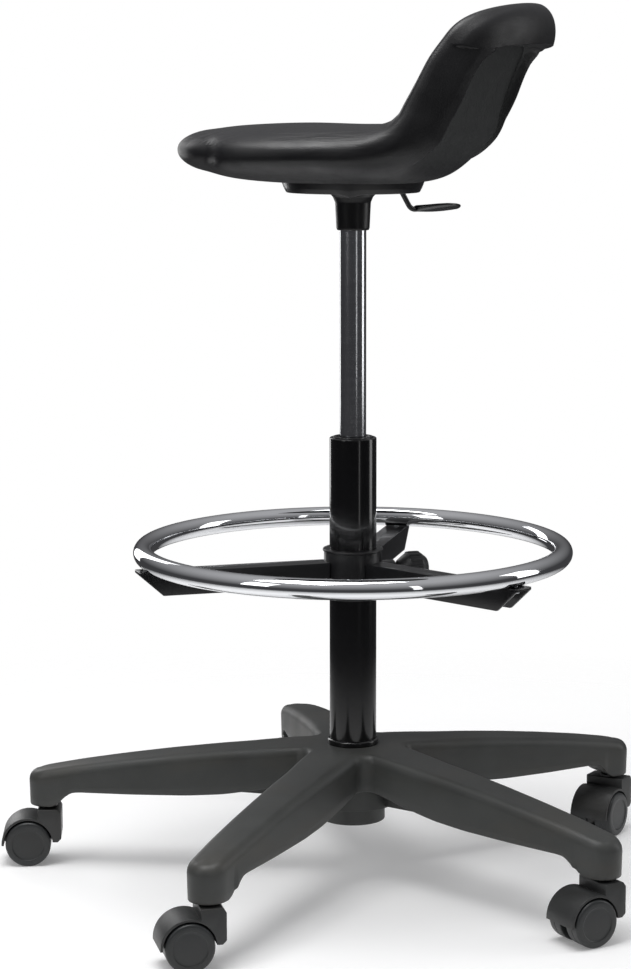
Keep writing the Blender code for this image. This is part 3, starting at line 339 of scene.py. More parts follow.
@dataclass(frozen=True)
class Plywood(Finish):
    """The edge and face of plain plywood."""

    def dress(self, bench: Bench) -> None:
        """Adds plies and grain."""
        grain = bench.noise(40.0, 6.0, (1.0, 12.0, 60.0))
        bench.feed("Base Color", bench.shade(grain, self.darker(0.7), self.darker(1.2)))
        bench.feed("Normal", bench.relief(grain, 0.0002))


class Finishes:
    """The finishes of this chair, by slot."""

    seat = MouldedSkin("seat skin", (0.0075, 0.0075, 0.0088), 0.42, gloss=0.5)
    nylon = SparkedNylon("base nylon", (0.046, 0.048, 0.046), 0.46, gloss=0.42)
    caster = SparkedNylon("caster nylon", (0.030, 0.031, 0.031), 0.42, gloss=0.42, grain=1700.0)
    wheel = SparkedNylon("wheel nylon", (0.020, 0.022, 0.023), 0.38, gloss=0.45, grain=1900.0, rub=2.2)
    lacquer = Lacquer("column lacquer", (0.003, 0.003, 0.0035), 0.16, coat=0.3)
    black_steel = Finish("black powder coat", (0.006, 0.006, 0.007), 0.30, gloss=0.5, coat=0.15)
    socket = Finish("socket black", (0.004, 0.004, 0.005), 0.36)
    paddle = Finish("paddle plastic", (0.016, 0.017, 0.018), 0.20, coat=0.4)
    black_plastic = Finish("black moulding", (0.012, 0.012, 0.013), 0.34)
    ground = GroundSteel("ground steel", (0.62, 0.63, 0.65), 0.17, metallic=1.0)
    chrome = Plated("chrome plate", (0.83, 0.84, 0.86), 0.045, metallic=1.0)
    zinc = GroundSteel("zinc plate", (0.60, 0.62, 0.64), 0.30, metallic=1.0, ring_scale=900.0)
    acetal = Finish("acetal", (0.55, 0.54, 0.50), 0.42)
    rubber = Finish("rubber", (0.015, 0.015, 0.015), 0.75)
    board = Plywood("plywood", (0.34, 0.24, 0.14), 0.7)

    by_slot = {
        Slot.SEAT: seat, Slot.BOARD: board, Slot.BLACK_STEEL: black_steel, Slot.ZINC: zinc, Slot.LACQUER: lacquer,
        Slot.GROUND: ground, Slot.CHROME: chrome, Slot.NYLON: nylon, Slot.CASTER: caster, Slot.WHEEL: wheel,
        Slot.BLACK_PLASTIC: black_plastic, Slot.ACETAL: acetal, Slot.RUBBER: rubber,
    }


# ---------------------------------------------------------------- making shapes


@dataclass
class Shell:
    """Points and faces, before they become a piece."""

    points: np.ndarray
    faces: list[tuple[int, ...]]

    def moved(self, matrix: Matrix) -> "Shell":
        """The same shell, placed by a matrix."""
        full = np.array(matrix)
        return Shell(self.points @ full[:3, :3].T + full[:3, 3], self.faces)

    def joined(self, *others: "Shell") -> "Shell":
        """This shell and others as one."""
        points, faces = [self.points], list(self.faces)
        count = len(self.points)
        for other in others:
            points.append(other.points)
            faces += [tuple(count + k for k in face) for face in other.faces]
            count += len(other.points)
        return Shell(np.concatenate(points), faces)

    def piece(self, name: str, crease: float = 38.0) -> bpy.types.Object:
        """An object of this shell, closed, facing out and smooth but for its edges.

        Args:
            name: The piece's name.
            crease: The least angle, in degrees, that stays a sharp edge.

        Returns:
            The object.
        """
        mesh = bpy.data.meshes.new(name)
        mesh.from_pydata(self.points.tolist(), [], self.faces)
        bm = bmesh.new()
        bm.from_mesh(mesh)
        bmesh.ops.remove_doubles(bm, verts=bm.verts, dist=1e-6)
        bmesh.ops.dissolve_degenerate(bm, edges=bm.edges, dist=1e-7)
        bmesh.ops.recalc_face_normals(bm, faces=bm.faces)
        bm.to_mesh(mesh)
        bm.free()
        mesh.shade_smooth()
        mesh.set_sharp_from_angle(angle=math.radians(crease))
        obj = bpy.data.objects.new(name, mesh)
        bpy.context.scene.collection.objects.link(obj)
        return obj


def grid(rings: np.ndarray, round_ends: bool = False, looped: bool = False) -> Shell:
    """A skin over rings of the same number of points.

    Args:
        rings: Points as (ring, point, xyz). Each ring is closed.
        round_ends: Closes each end with strips between facing points, for a ring that is symmetric end to end.
        looped: The last ring joins the first.

    Returns:
        The skin.
    """
    many, count = rings.shape[:2]
    faces = []
    for i in range(many if looped else many - 1):
        low, high = i * count, (i + 1) % many * count
        for k in range(count):
            after = (k + 1) % count
            faces.append((low + k, low + after, high + after, high + k))
    if round_ends:
        for start in (0, (many - 1) * count):
            faces += [(start + k, start + k + 1, start + count - 2 - k, start + count - 1 - k)
                      for k in range(count // 2 - 1)]
    elif not looped:
        faces += [tuple(range(count)), tuple(range((many - 1) * count, many * count))]
    return Shell(rings.reshape(-1, 3), faces)


def turned(profile: Profile, steps: int = 96) -> Shell:
    """A shape turned about Z.

    Args:
        profile: (radius, height) points: a loop, or a run from axis to axis.
        steps: How many sides it has.

    Returns:
        The shell.
    """
    turns = np.linspace(0, 2 * math.pi, steps, endpoint=False)
    around = np.stack([np.cos(turns), np.sin(turns)], axis=1)
    rings = np.array([[(r * c, r * s, z) for c, s in around] for r, z in profile])
    shell = grid(rings, looped=profile[0][0] > 1e-7)
    if profile[0][0] <= 1e-7:
        shell.faces = shell.faces[:-2]
    return shell


def filleted(corners: Sequence[tuple[float, float, float]], steps: int = 5, closed: bool = True) -> Profile:
    """A run of corners with each one rounded.

    Args:
        corners: (x, y, radius) for each corner.
        steps: How many points each rounding has.
        closed: The last corner joins the first.

    Returns:
        The points.
    """
    points: Profile = []
    count = len(corners)
    for k, (x, y, radius) in enumerate(corners):
        at = Vector((x, y))
        if radius <= 0 or (not closed and k in (0, count - 1)):
            points.append((x, y))
            continue
        before = Vector(corners[k - 1][:2]) - at
        after = Vector(corners[(k + 1) % count][:2]) - at
        half = before.angle(after) / 2
        reach = min(radius / math.tan(half), before.length * 0.49, after.length * 0.49)
        start, stop = at + before.normalized() * reach, at + after.normalized() * reach
        for n in range(steps):
            t = n / (steps - 1)
            bent = (1 - t) ** 2 * start + 2 * t * (1 - t) * at + t * t * stop
            flat = start.lerp(stop, t)
            points.append(tuple(bent.lerp(flat, 0.08 * math.sin(math.pi * t))))
    return points


def swept(path: Sequence[Vector], radius: float, sides: int = 20) -> Shell:
    """A round bar along a path that lies in the XZ plane."""
    rings = []
    for k, point in enumerate(path):
        ahead = (path[min(k + 1, len(path) - 1)] - path[max(k - 1, 0)]).normalized()
        side = Vector((0, 1, 0))
        over = side.cross(ahead)
        turns = [2 * math.pi * n / sides for n in range(sides)]
        rings.append([point + radius * (math.cos(t) * side + math.sin(t) * over) for t in turns])
    return grid(np.array(rings))


def extruded(outline: Profile, low: float, high: float, edge: float = 0.0006) -> Shell:
    """A plate of an XZ outline, from low to high along Y, with both rims rounded over.

    Args:
        outline: (x, z) points, anticlockwise.
        low: Where the plate starts.
        high: Where it ends.
        edge: How far the rims are rounded.

    Returns:
        The shell.
    """
    flat = np.array(outline)
    along = np.roll(flat, -1, axis=0) - np.roll(flat, 1, axis=0)
    along /= np.linalg.norm(along, axis=1)[:, None]
    inward = np.stack([-along[:, 1], along[:, 0]], axis=1)
    turns = np.linspace(0, math.pi / 2, 4)
    rims = [(edge * (1 - math.sin(t)), edge * (1 - math.cos(t))) for t in turns]
    levels = [(low + inset, depth) for depth, inset in rims] + [(high - inset, depth) for depth, inset in rims[::-1]]
    return grid(np.array([[(x, y, z) for x, z in flat + inward * depth] for y, depth in levels]))


def cut(piece: bpy.types.Object, shell: Shell, operation: str = "DIFFERENCE") -> bpy.types.Object:
    """Cuts or adds a shell.

    Args:
        piece: The object to change.
        shell: The closed shell of the tool.
        operation: DIFFERENCE or UNION.

    Returns:
        The piece.
    """
    tool = shell.piece("tool")
    modifier = piece.modifiers.new("cut", "BOOLEAN")
    modifier.object, modifier.operation, modifier.solver = tool, operation, "EXACT"
    baked(piece)
    bpy.data.objects.remove(tool)
    return piece


def baked(piece: bpy.types.Object) -> bpy.types.Object:
    """Makes an object's modifiers part of its mesh."""
    bpy.context.view_layer.update()
    graph = bpy.context.evaluated_depsgraph_get()
    made = bpy.data.meshes.new_from_object(piece.evaluated_get(graph))
    piece.modifiers.clear()
    piece.data = made
    return piece


def eased(piece: bpy.types.Object, width: float, segments: int = 2, angle: float = 32.0) -> bpy.types.Object:
    """Rounds every sharp edge of a piece.

    Args:
        piece: The object.
        width: How wide the rounding is, in metres.
        segments: How many faces it has.
        angle: The least angle of an edge that is rounded, in degrees.

    Returns:
        The piece.
    """
    bm = bmesh.new()
    bm.from_mesh(piece.data)
    bmesh.ops.remove_doubles(bm, verts=bm.verts, dist=2e-6)
    bmesh.ops.dissolve_limit(bm, angle_limit=math.radians(1.5), verts=bm.verts, edges=bm.edges)
    bm.to_mesh(piece.data)
    bm.free()
    bevel = piece.modifiers.new("ease", "BEVEL")
    bevel.width, bevel.segments, bevel.limit_method = width, segments, "ANGLE"
    bevel.angle_limit, bevel.harden_normals = math.radians(angle), False
    bevel.use_clamp_overlap = True
    baked(piece)
    piece.data.shade_smooth()
    piece.data.set_sharp_from_angle(angle=math.radians(40))
    return piece


class RoundOf:
    """A Geometry Nodes tree that sets copies of one shape round an axis."""

    def __init__(self, finish: Finish) -> None:
        """Builds the tree.

        Args:
            finish: The finish that the copies get.
        """
        self.finish = finish
        self.tree = bpy.data.node_groups.new("copies round an axis", "GeometryNodeTree")
        face = self.tree.interface
        face.new_socket("Geometry", in_out="INPUT", socket_type="NodeSocketGeometry")
        self.inputs = {name: face.new_socket(name, in_out="INPUT", socket_type=kind).identifier for name, kind in
                       (("Shape", "NodeSocketObject"), ("Count", "NodeSocketInt"), ("Radius", "NodeSocketFloat"),
                        ("First turn", "NodeSocketFloat"))}
        face.new_socket("Geometry", in_out="OUTPUT", socket_type="NodeSocketGeometry")
        nodes, links = self.tree.nodes, self.tree.links
        given, result = nodes.new("NodeGroupInput"), nodes.new("NodeGroupOutput")
        circle = nodes.new("GeometryNodeMeshCircle")
        info = nodes.new("GeometryNodeObjectInfo")
        copies = nodes.new("GeometryNodeInstanceOnPoints")
        index, step = nodes.new("GeometryNodeInputIndex"), nodes.new("ShaderNodeMath")
        turn, pack = nodes.new("ShaderNodeMath"), nodes.new("ShaderNodeCombineXYZ")
        whole, place = nodes.new("GeometryNodeRealizeInstances"), nodes.new("GeometryNodeTransform")
        paint = nodes.new("GeometryNodeSetMaterial")
        step.operation, turn.operation = "DIVIDE", "MULTIPLY"
        turn.inputs[1].default_value = 2 * math.pi
        spin = nodes.new("ShaderNodeCombineXYZ")
        links.new(given.outputs["Count"], circle.inputs["Vertices"])
        links.new(given.outputs["Radius"], circle.inputs["Radius"])
        links.new(given.outputs["Shape"], info.inputs["Object"])
        links.new(circle.outputs["Mesh"], copies.inputs["Points"])
        links.new(info.outputs["Geometry"], copies.inputs["Instance"])
        links.new(index.outputs[0], step.inputs[0])
        links.new(given.outputs["Count"], step.inputs[1])
        links.new(step.outputs[0], turn.inputs[0])
        links.new(turn.outputs[0], pack.inputs["Z"])
        links.new(pack.outputs[0], copies.inputs["Rotation"])
        links.new(copies.outputs["Instances"], whole.inputs["Geometry"])
        links.new(whole.outputs["Geometry"], place.inputs["Geometry"])
        links.new(given.outputs["First turn"], spin.inputs["Z"])
        links.new(spin.outputs[0], place.inputs["Rotation"])
        links.new(place.outputs["Geometry"], paint.inputs["Geometry"])
        paint.inputs["Material"].default_value = finish.material()
        links.new(paint.outputs["Geometry"], result.inputs["Geometry"])

    def piece(self, name: str, shell: Shell, count: int, radius: float, first: float,
              place: Matrix) -> bpy.types.Object:
        """Copies a shell round Z, then sets the whole in place.

        Args:
            name: The piece's name.
            shell: The shape, drawn at the origin with +X pointing away from the axis.
            count: How many copies there are.
            radius: How far each one stands from the axis.
            first: The turn of the first copy, in radians.
            place: Where the axis goes.

        Returns:
            One plain mesh object.
        """
        shape = shell.piece(name + ".shape")
        host = bpy.data.objects.new(name, bpy.data.meshes.new(name))
        bpy.context.scene.collection.objects.link(host)
        modifier = host.modifiers.new("copies", "NODES")
        modifier.node_group = self.tree
        for key, value in (("Shape", shape), ("Count", count), ("Radius", radius), ("First turn", first)):
            modifier[self.inputs[key]] = value
        baked(host)
        bpy.data.objects.remove(shape)
        host.data.transform(place)
        host.data.shade_smooth()
        host.data.set_sharp_from_angle(angle=math.radians(38))
        host.data.name = name
        return host


def fitted(piece: bpy.types.Object, finish: Finish, slot: Slot, body: str, *nodes: str) -> bpy.types.Object:
    """Gives a piece its finish and its place among the bodies.

    Args:
        piece: The object.
        finish: What it is dressed in.
        slot: The record's slot for it.
        body: The body that it moves with.
        nodes: The nodes that it stands for.

    Returns:
        The piece.
    """
    piece.data.materials.clear()
    piece.data.materials.append(finish.material())
    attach(piece, body)
    if nodes:
        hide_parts(*nodes)
    log.info("%s: %d faces, rides on %s", piece.name, len(piece.data.polygons), body)
    return piece


def curve_at(values: np.ndarray, where: np.ndarray) -> np.ndarray:
    """A smooth curve through evenly numbered values, read at where."""
    last = len(values) - 1
    whole = np.clip(where.astype(int), 0, last - 1)
    t = where - whole
    padded = np.concatenate([[2 * values[0] - values[1]], values, [2 * values[-1] - values[-2]]])
    a, b, c, d = (padded[whole + n] for n in range(4))
    return b + 0.5 * t * (c - a + t * (2 * a - 5 * b + 4 * c - d + t * (3 * (b - c) + d - a)))


def smooth_step(value: np.ndarray) -> np.ndarray:
    """0 below 0, 1 above 1, and smooth between."""
    held = np.clip(value, 0.0, 1.0)
    return held * held * (3 - 2 * held)


# ---------------------------------------------------------------- seat


@dataclass
class Seat:
    """The one-piece moulded seat: a thick skin-covered foam shell that turns up into a low, wrapped backrest."""

    axis: Vector
    spine: tuple[tuple[float, ...], ...] = (
        (-0.1500, 0.7775, 0.0225, -0.1150, 0.7780, 0.0200, 0.140),
        (-0.1100, 0.7760, 0.0285, -0.0900, 0.7775, 0.0260, 0.164),
        (-0.0600, 0.7755, 0.0310, -0.0520, 0.7775, 0.0290, 0.174),
        (0.0000, 0.7745, 0.0305, 0.0000, 0.7775, 0.0300, 0.175),
        (0.0500, 0.7755, 0.0310, 0.0460, 0.7790, 0.0320, 0.172),
        (0.0920, 0.7800, 0.0340, 0.0770, 0.7880, 0.0345, 0.167),
        (0.1270, 0.7890, 0.0390, 0.0940, 0.8060, 0.0330, 0.162),
        (0.1420, 0.8150, 0.0350, 0.1020, 0.8240, 0.0290, 0.158),
        (0.1540, 0.8420, 0.0290, 0.1115, 0.8440, 0.0265, 0.155),
        (0.1665, 0.8680, 0.0240, 0.1220, 0.8660, 0.0260, 0.150),
        (0.1790, 0.8920, 0.0215, 0.1345, 0.8850, 0.0255, 0.143),
    )
    lip_reach: float = 0.032
    crest_reach: float = 0.039
    end_square: float = 3.2
    square_across: float = 0.62
    square_thick: float = 0.80
    hollow_depth: float = 0.0045
    bead_height: float = 0.0080
    hollow_width: float = 0.845
    hollow_wall: float = 0.0030
    hollow_corner: float = 0.022
    hollow_top: float = 0.0085
    body_length: float = 0.26
    swell: float = 0.003
    rows: int = 150
    around: int = 116

    def _spine_at(self, where: np.ndarray, side: np.ndarray) -> tuple[np.ndarray, np.ndarray, np.ndarray]:
        """The spine's y, height and half thickness, between the middle (side 0) and the edges (side 1)."""
        table = np.array(self.spine)
        found = []
        for n in range(3):
            middle, edge = curve_at(table[:, n], where), curve_at(table[:, n + 3], where)
            found.append(middle + (edge - middle) * side)
        return found[0], found[1], found[2]

    def skin(self, run: np.ndarray, turn: np.ndarray) -> tuple[np.ndarray, np.ndarray]:
        """Points of the skin.

        Args:
            run: How far along the seat: 0 to 1 on the body, to -1 round the front lip and to 2 over the crest.
            turn: The angle round the section, in radians, 0 at the right side and a quarter turn on top.

        Returns:
            The points, and how far each is into the hollow of the back, from 0 to 1.
        """
        share = np.clip(run, 0.0, 1.0)
        cap = np.sin(np.clip(np.abs(run - share), 0.0, 0.985) * math.pi / 2)
        shrink = np.sqrt(1 - cap ** 2)
        cosine, sine = np.cos(turn), np.sin(turn)
        across = np.sign(cosine) * np.abs(cosine) ** self.square_across
        over = np.sign(sine) * np.abs(sine) ** self.square_thick
        where = share * (len(self.spine) - 1)
        reach = np.where(run > 1, self.crest_reach, -self.lip_reach) * cap
        full = self._half_width(where, reach)
        narrow = (1 - cap ** self.end_square) ** (1 / self.end_square)
        bead = self._bead(run, across, over) * shrink
        y, z = self._section(where, (across * narrow) ** 2, over, bead, shrink, reach)
        edge_over = -(1 - self.hollow_width ** (2 / self.square_across)) ** (self.square_thick / 2)
        flat_y, flat_z = self._section(where, (self.hollow_width * narrow) ** 2, edge_over,
                                       -self.hollow_depth, shrink, reach)
        hollow = self._hollow(run, across, full, over)
        points = np.stack([across * narrow * full, y + (flat_y - y) * hollow, z + (flat_z - z) * hollow], axis=-1)
        return points, hollow

    def _section(self, where: np.ndarray, side: np.ndarray, over: np.ndarray | float, extra: np.ndarray | float,
                 shrink: np.ndarray, reach: np.ndarray) -> tuple[np.ndarray, np.ndarray]:
        """Where a point of the section is.

        Args:
            where: How far along the spine, in rows.
            side: 0 in the middle of the seat, 1 at its edges.
            over: How far over the spine the point is, as a share of the half thickness.
            extra: How much further back it stands, in metres.
            shrink: How much thickness is left, towards the ends.
            reach: How far past the spine's end it is.

        Returns:
            Its y and its height.
        """
        last = len(self.spine) - 1
        y, z, half = self._spine_at(where, side)
        low = self._spine_at(np.clip(where - 0.2, 0, last), side)
        high = self._spine_at(np.clip(where + 0.2, 0, last), side)
        ahead_y, ahead_z = high[0] - low[0], high[1] - low[1]
        length = np.hypot(ahead_y, ahead_z)
        ahead_y, ahead_z = ahead_y / length, ahead_z / length
        half = half + (high[2] - low[2]) / length * self._eased(reach)
        lift = over * half * shrink - extra
        return y + ahead_y * reach - ahead_z * lift, z + ahead_z * reach + ahead_y * lift

    def _eased(self, reach: np.ndarray) -> np.ndarray:
        """How far a taper of the body still runs on past the spine's end, dying out at the very end."""
        furthest = np.where(reach > 0, self.crest_reach, self.lip_reach)
        return reach * (1 - np.abs(reach) / (2 * furthest))

    def _half_width(self, where: np.ndarray, reach: np.ndarray) -> np.ndarray:
        """Half the seat's width, its taper running on into the rounded ends."""
        table = np.array(self.spine)
        last = len(self.spine) - 1
        low, high = np.clip(where - 0.2, 0, last), np.clip(where + 0.2, 0, last)
        length = np.hypot(*(curve_at(table[:, n], high) - curve_at(table[:, n], low) for n in (0, 1)))
        slope = (curve_at(table[:, 6], high) - curve_at(table[:, 6], low)) / length
        return curve_at(table[:, 6], where) + slope * self._eased(reach)

    def _bead(self, run: np.ndarray, across: np.ndarray, over: np.ndarray) -> np.ndarray:
        """How far the rolled rim stands out behind, along both sides and over the crest."""
        sides = smooth_step((np.abs(across) - 0.66) / 0.16) * smooth_step((1.0 - np.abs(across)) / 0.10)
        rim = np.maximum(sides, smooth_step((run - 0.98) / 0.14))
        return np.where(over < 0, self.bead_height * rim, 0.0) * smooth_step((run - 0.56) / 0.26)

    def _hollow(self, run: np.ndarray, across: np.ndarray, full: np.ndarray, over: np.ndarray) -> np.ndarray:
        """How far a point is into the hollow: 0 on the rim, 1 on its floor."""
        from_side = (self.hollow_width - np.abs(across)) * full
        from_top = np.where(run > 1, self.hollow_top - (run - 1) * 0.058, self.hollow_top + (1 - run) * self.body_length)
        corner = self.hollow_corner
        outer = np.hypot(np.clip(corner - from_side, 0, None), np.clip(corner - from_top, 0, None))
        inside = np.minimum(np.minimum(from_side, from_top), corner - outer)
        return np.where(over < 0, smooth_step(inside / self.hollow_wall), 0.0) * smooth_step((run - 0.44) / 0.16)

    def _turns(self) -> np.ndarray:
        """The angles of a section's points, closer together at the edges of the hollow, the same above and below."""
        edge = math.acos(self.hollow_width ** (1 / self.square_across))
        even = (np.arange(self.around) + 0.5) / self.around * math.pi
        side = np.concatenate([even[np.abs(even - edge - 0.045) > 0.085], np.linspace(-0.03, 0.12, 11) + edge])
        side = np.sort(side[side < math.pi / 2])
        top = np.concatenate([side, math.pi - side[::-1]])
        return np.concatenate([top, 2 * math.pi - top[::-1]])

    def _settled(self) -> tuple[np.ndarray, np.ndarray, np.ndarray]:
        """How the soft foam pushes its skin out: a coarse skin is blown up a little and let settle.

        Returns:
            The runs and the turns of the coarse skin, and how far each of its points moved.
        """
        runs = np.linspace(-0.96, 1.96, 60)
        turns = (np.arange(72) + 0.5) / 72 * 2 * math.pi
        points, _ = self.skin(*np.meshgrid(runs, turns, indexing="ij"))
        moved = np.zeros_like(points)
        shell = grid(points)
        mesh = bpy.data.meshes.new("bladder")
        mesh.from_pydata(shell.points.tolist(), [], shell.faces)
        bladder = bpy.data.objects.new("bladder", mesh)
        bpy.context.scene.collection.objects.link(bladder)
        held = bladder.vertex_groups.new(name="held")
        flat = shell.points
        board = (np.hypot(flat[:, 0], flat[:, 1]) < 0.10) & (flat[:, 2] < 0.765)
        held.add([int(k) for k in np.flatnonzero(board)], 1.0, "REPLACE")
        cloth = bladder.modifiers.new("skin", "CLOTH")
        settings = cloth.settings
        settings.quality, settings.mass = 6, 0.35
        settings.tension_stiffness = settings.compression_stiffness = 18.0
        settings.shear_stiffness, settings.bending_stiffness = 8.0, 0.6
        settings.use_pressure, settings.uniform_pressure_force = True, 4.0
        settings.effector_weights.gravity = 0.0
        settings.vertex_group_mass = "held"
        cloth.collision_settings.use_collision = False
        scene = bpy.context.scene
        for frame in range(1, 21):
            scene.frame_set(frame)
        graph = bpy.context.evaluated_depsgraph_get()
        after = bladder.evaluated_get(graph).to_mesh()
        found = np.empty(len(after.vertices) * 3)
        after.vertices.foreach_get("co", found)
        moved = found.reshape(points.shape) - points
        scene.frame_set(1)
        bpy.data.objects.remove(bladder)
        length = np.linalg.norm(moved, axis=-1, keepdims=True)
        moved *= np.minimum(1.0, self.swell / np.maximum(length, 1e-9))
        calm = self._smoothed(moved, 4)
        even = self._smoothed(calm, 20)
        log.info("foam skin settled by up to %.1f mm", 1000 * float(np.abs(calm - even).max()))
        return runs, turns, calm - 0.75 * even

    def _smoothed(self, moved: np.ndarray, passes: int) -> np.ndarray:
        """Evens out how far neighbouring points moved."""
        for _ in range(passes):
            moved = (moved + np.roll(moved, 1, axis=1) + np.roll(moved, -1, axis=1)) / 3
            moved[1:-1] = (moved[1:-1] + moved[:-2] + moved[2:]) / 3
        return moved

    def _runs(self) -> np.ndarray:
        """The rows of the fine skin, closer together at the top edge of the hollow."""
        lip = -np.linspace(0.99, 0.04, 26)
        body = np.linspace(0.0, 1.0, self.rows)
        crest = np.concatenate([np.linspace(1.01, 1.16, 22), np.linspace(1.18, 1.99, 30)])
        return np.concatenate([lip, body, crest])

    def make(self) -> None:
        """Makes the seat, dressed in its skin."""
        runs, turns = self._runs(), self._turns()
        points, hollow = self.skin(*np.meshgrid(runs, turns, indexing="ij"))
        coarse_runs, coarse_turns, moved = self._settled()
        row = np.interp(runs, coarse_runs, np.arange(len(coarse_runs)))
        column = (turns / (2 * math.pi) * len(coarse_turns) - 0.5) % len(coarse_turns)
        low_row, low_column = np.clip(row.astype(int), 0, len(coarse_runs) - 2), column.astype(int)
        part_row, part_column = (row - low_row)[:, None, None], (column - low_column)[None, :, None]
        next_column = (low_column + 1) % len(coarse_turns)
        near = moved[low_row][:, low_column] * (1 - part_column) + moved[low_row][:, next_column] * part_column
        far = moved[low_row + 1][:, low_column] * (1 - part_column) + moved[low_row + 1][:, next_column] * part_column
        points = points + (near * (1 - part_row) + far * part_row) * (1 - 0.8 * hollow[..., None])
        shell = grid(points, round_ends=True).moved(Matrix.Translation(self.axis))
        mesh = bpy.data.meshes.new("moulded_seat")
        mesh.from_pydata(shell.points.tolist(), [], shell.faces)
        obj = bpy.data.objects.new("moulded_seat", mesh)
        bpy.context.scene.collection.objects.link(obj)
        self._mark(obj, points, hollow)
        bm = bmesh.new()
        bm.from_mesh(mesh)
        bmesh.ops.recalc_face_normals(bm, faces=bm.faces)
        bm.to_mesh(mesh)
        bm.free()
        mesh.shade_smooth()
        fitted(obj, Finishes.seat, Slot.SEAT, "seat", "seat_pad")

    def _mark(self, obj: bpy.types.Object, points: np.ndarray, hollow: np.ndarray) -> None:
        """Stores where the skin is wrinkled and where the hollow's floor is."""
        x, y, z = points.reshape(-1, 3).T
        wrinkle = np.exp(-((np.abs(x) - 0.150) / 0.016) ** 2 - ((y - 0.012) / 0.055) ** 2) * (z > 0.775)
        wrinkle += 0.55 * np.exp(-((y + 0.125) / 0.03) ** 2) * (z > 0.785)
        # The panel mask marks the hollow's floor, where the skin is made duller and painted a paler grey as painted
        # light.
        for name, values in (("wrinkle", wrinkle), ("panel", smooth_step(hollow.reshape(-1) * 1.6 - 0.5))):
            layer = obj.data.attributes.new(name, "FLOAT", "POINT")
            layer.data.foreach_set("value", values.astype(np.float32))


# ---------------------------------------------------------------- base


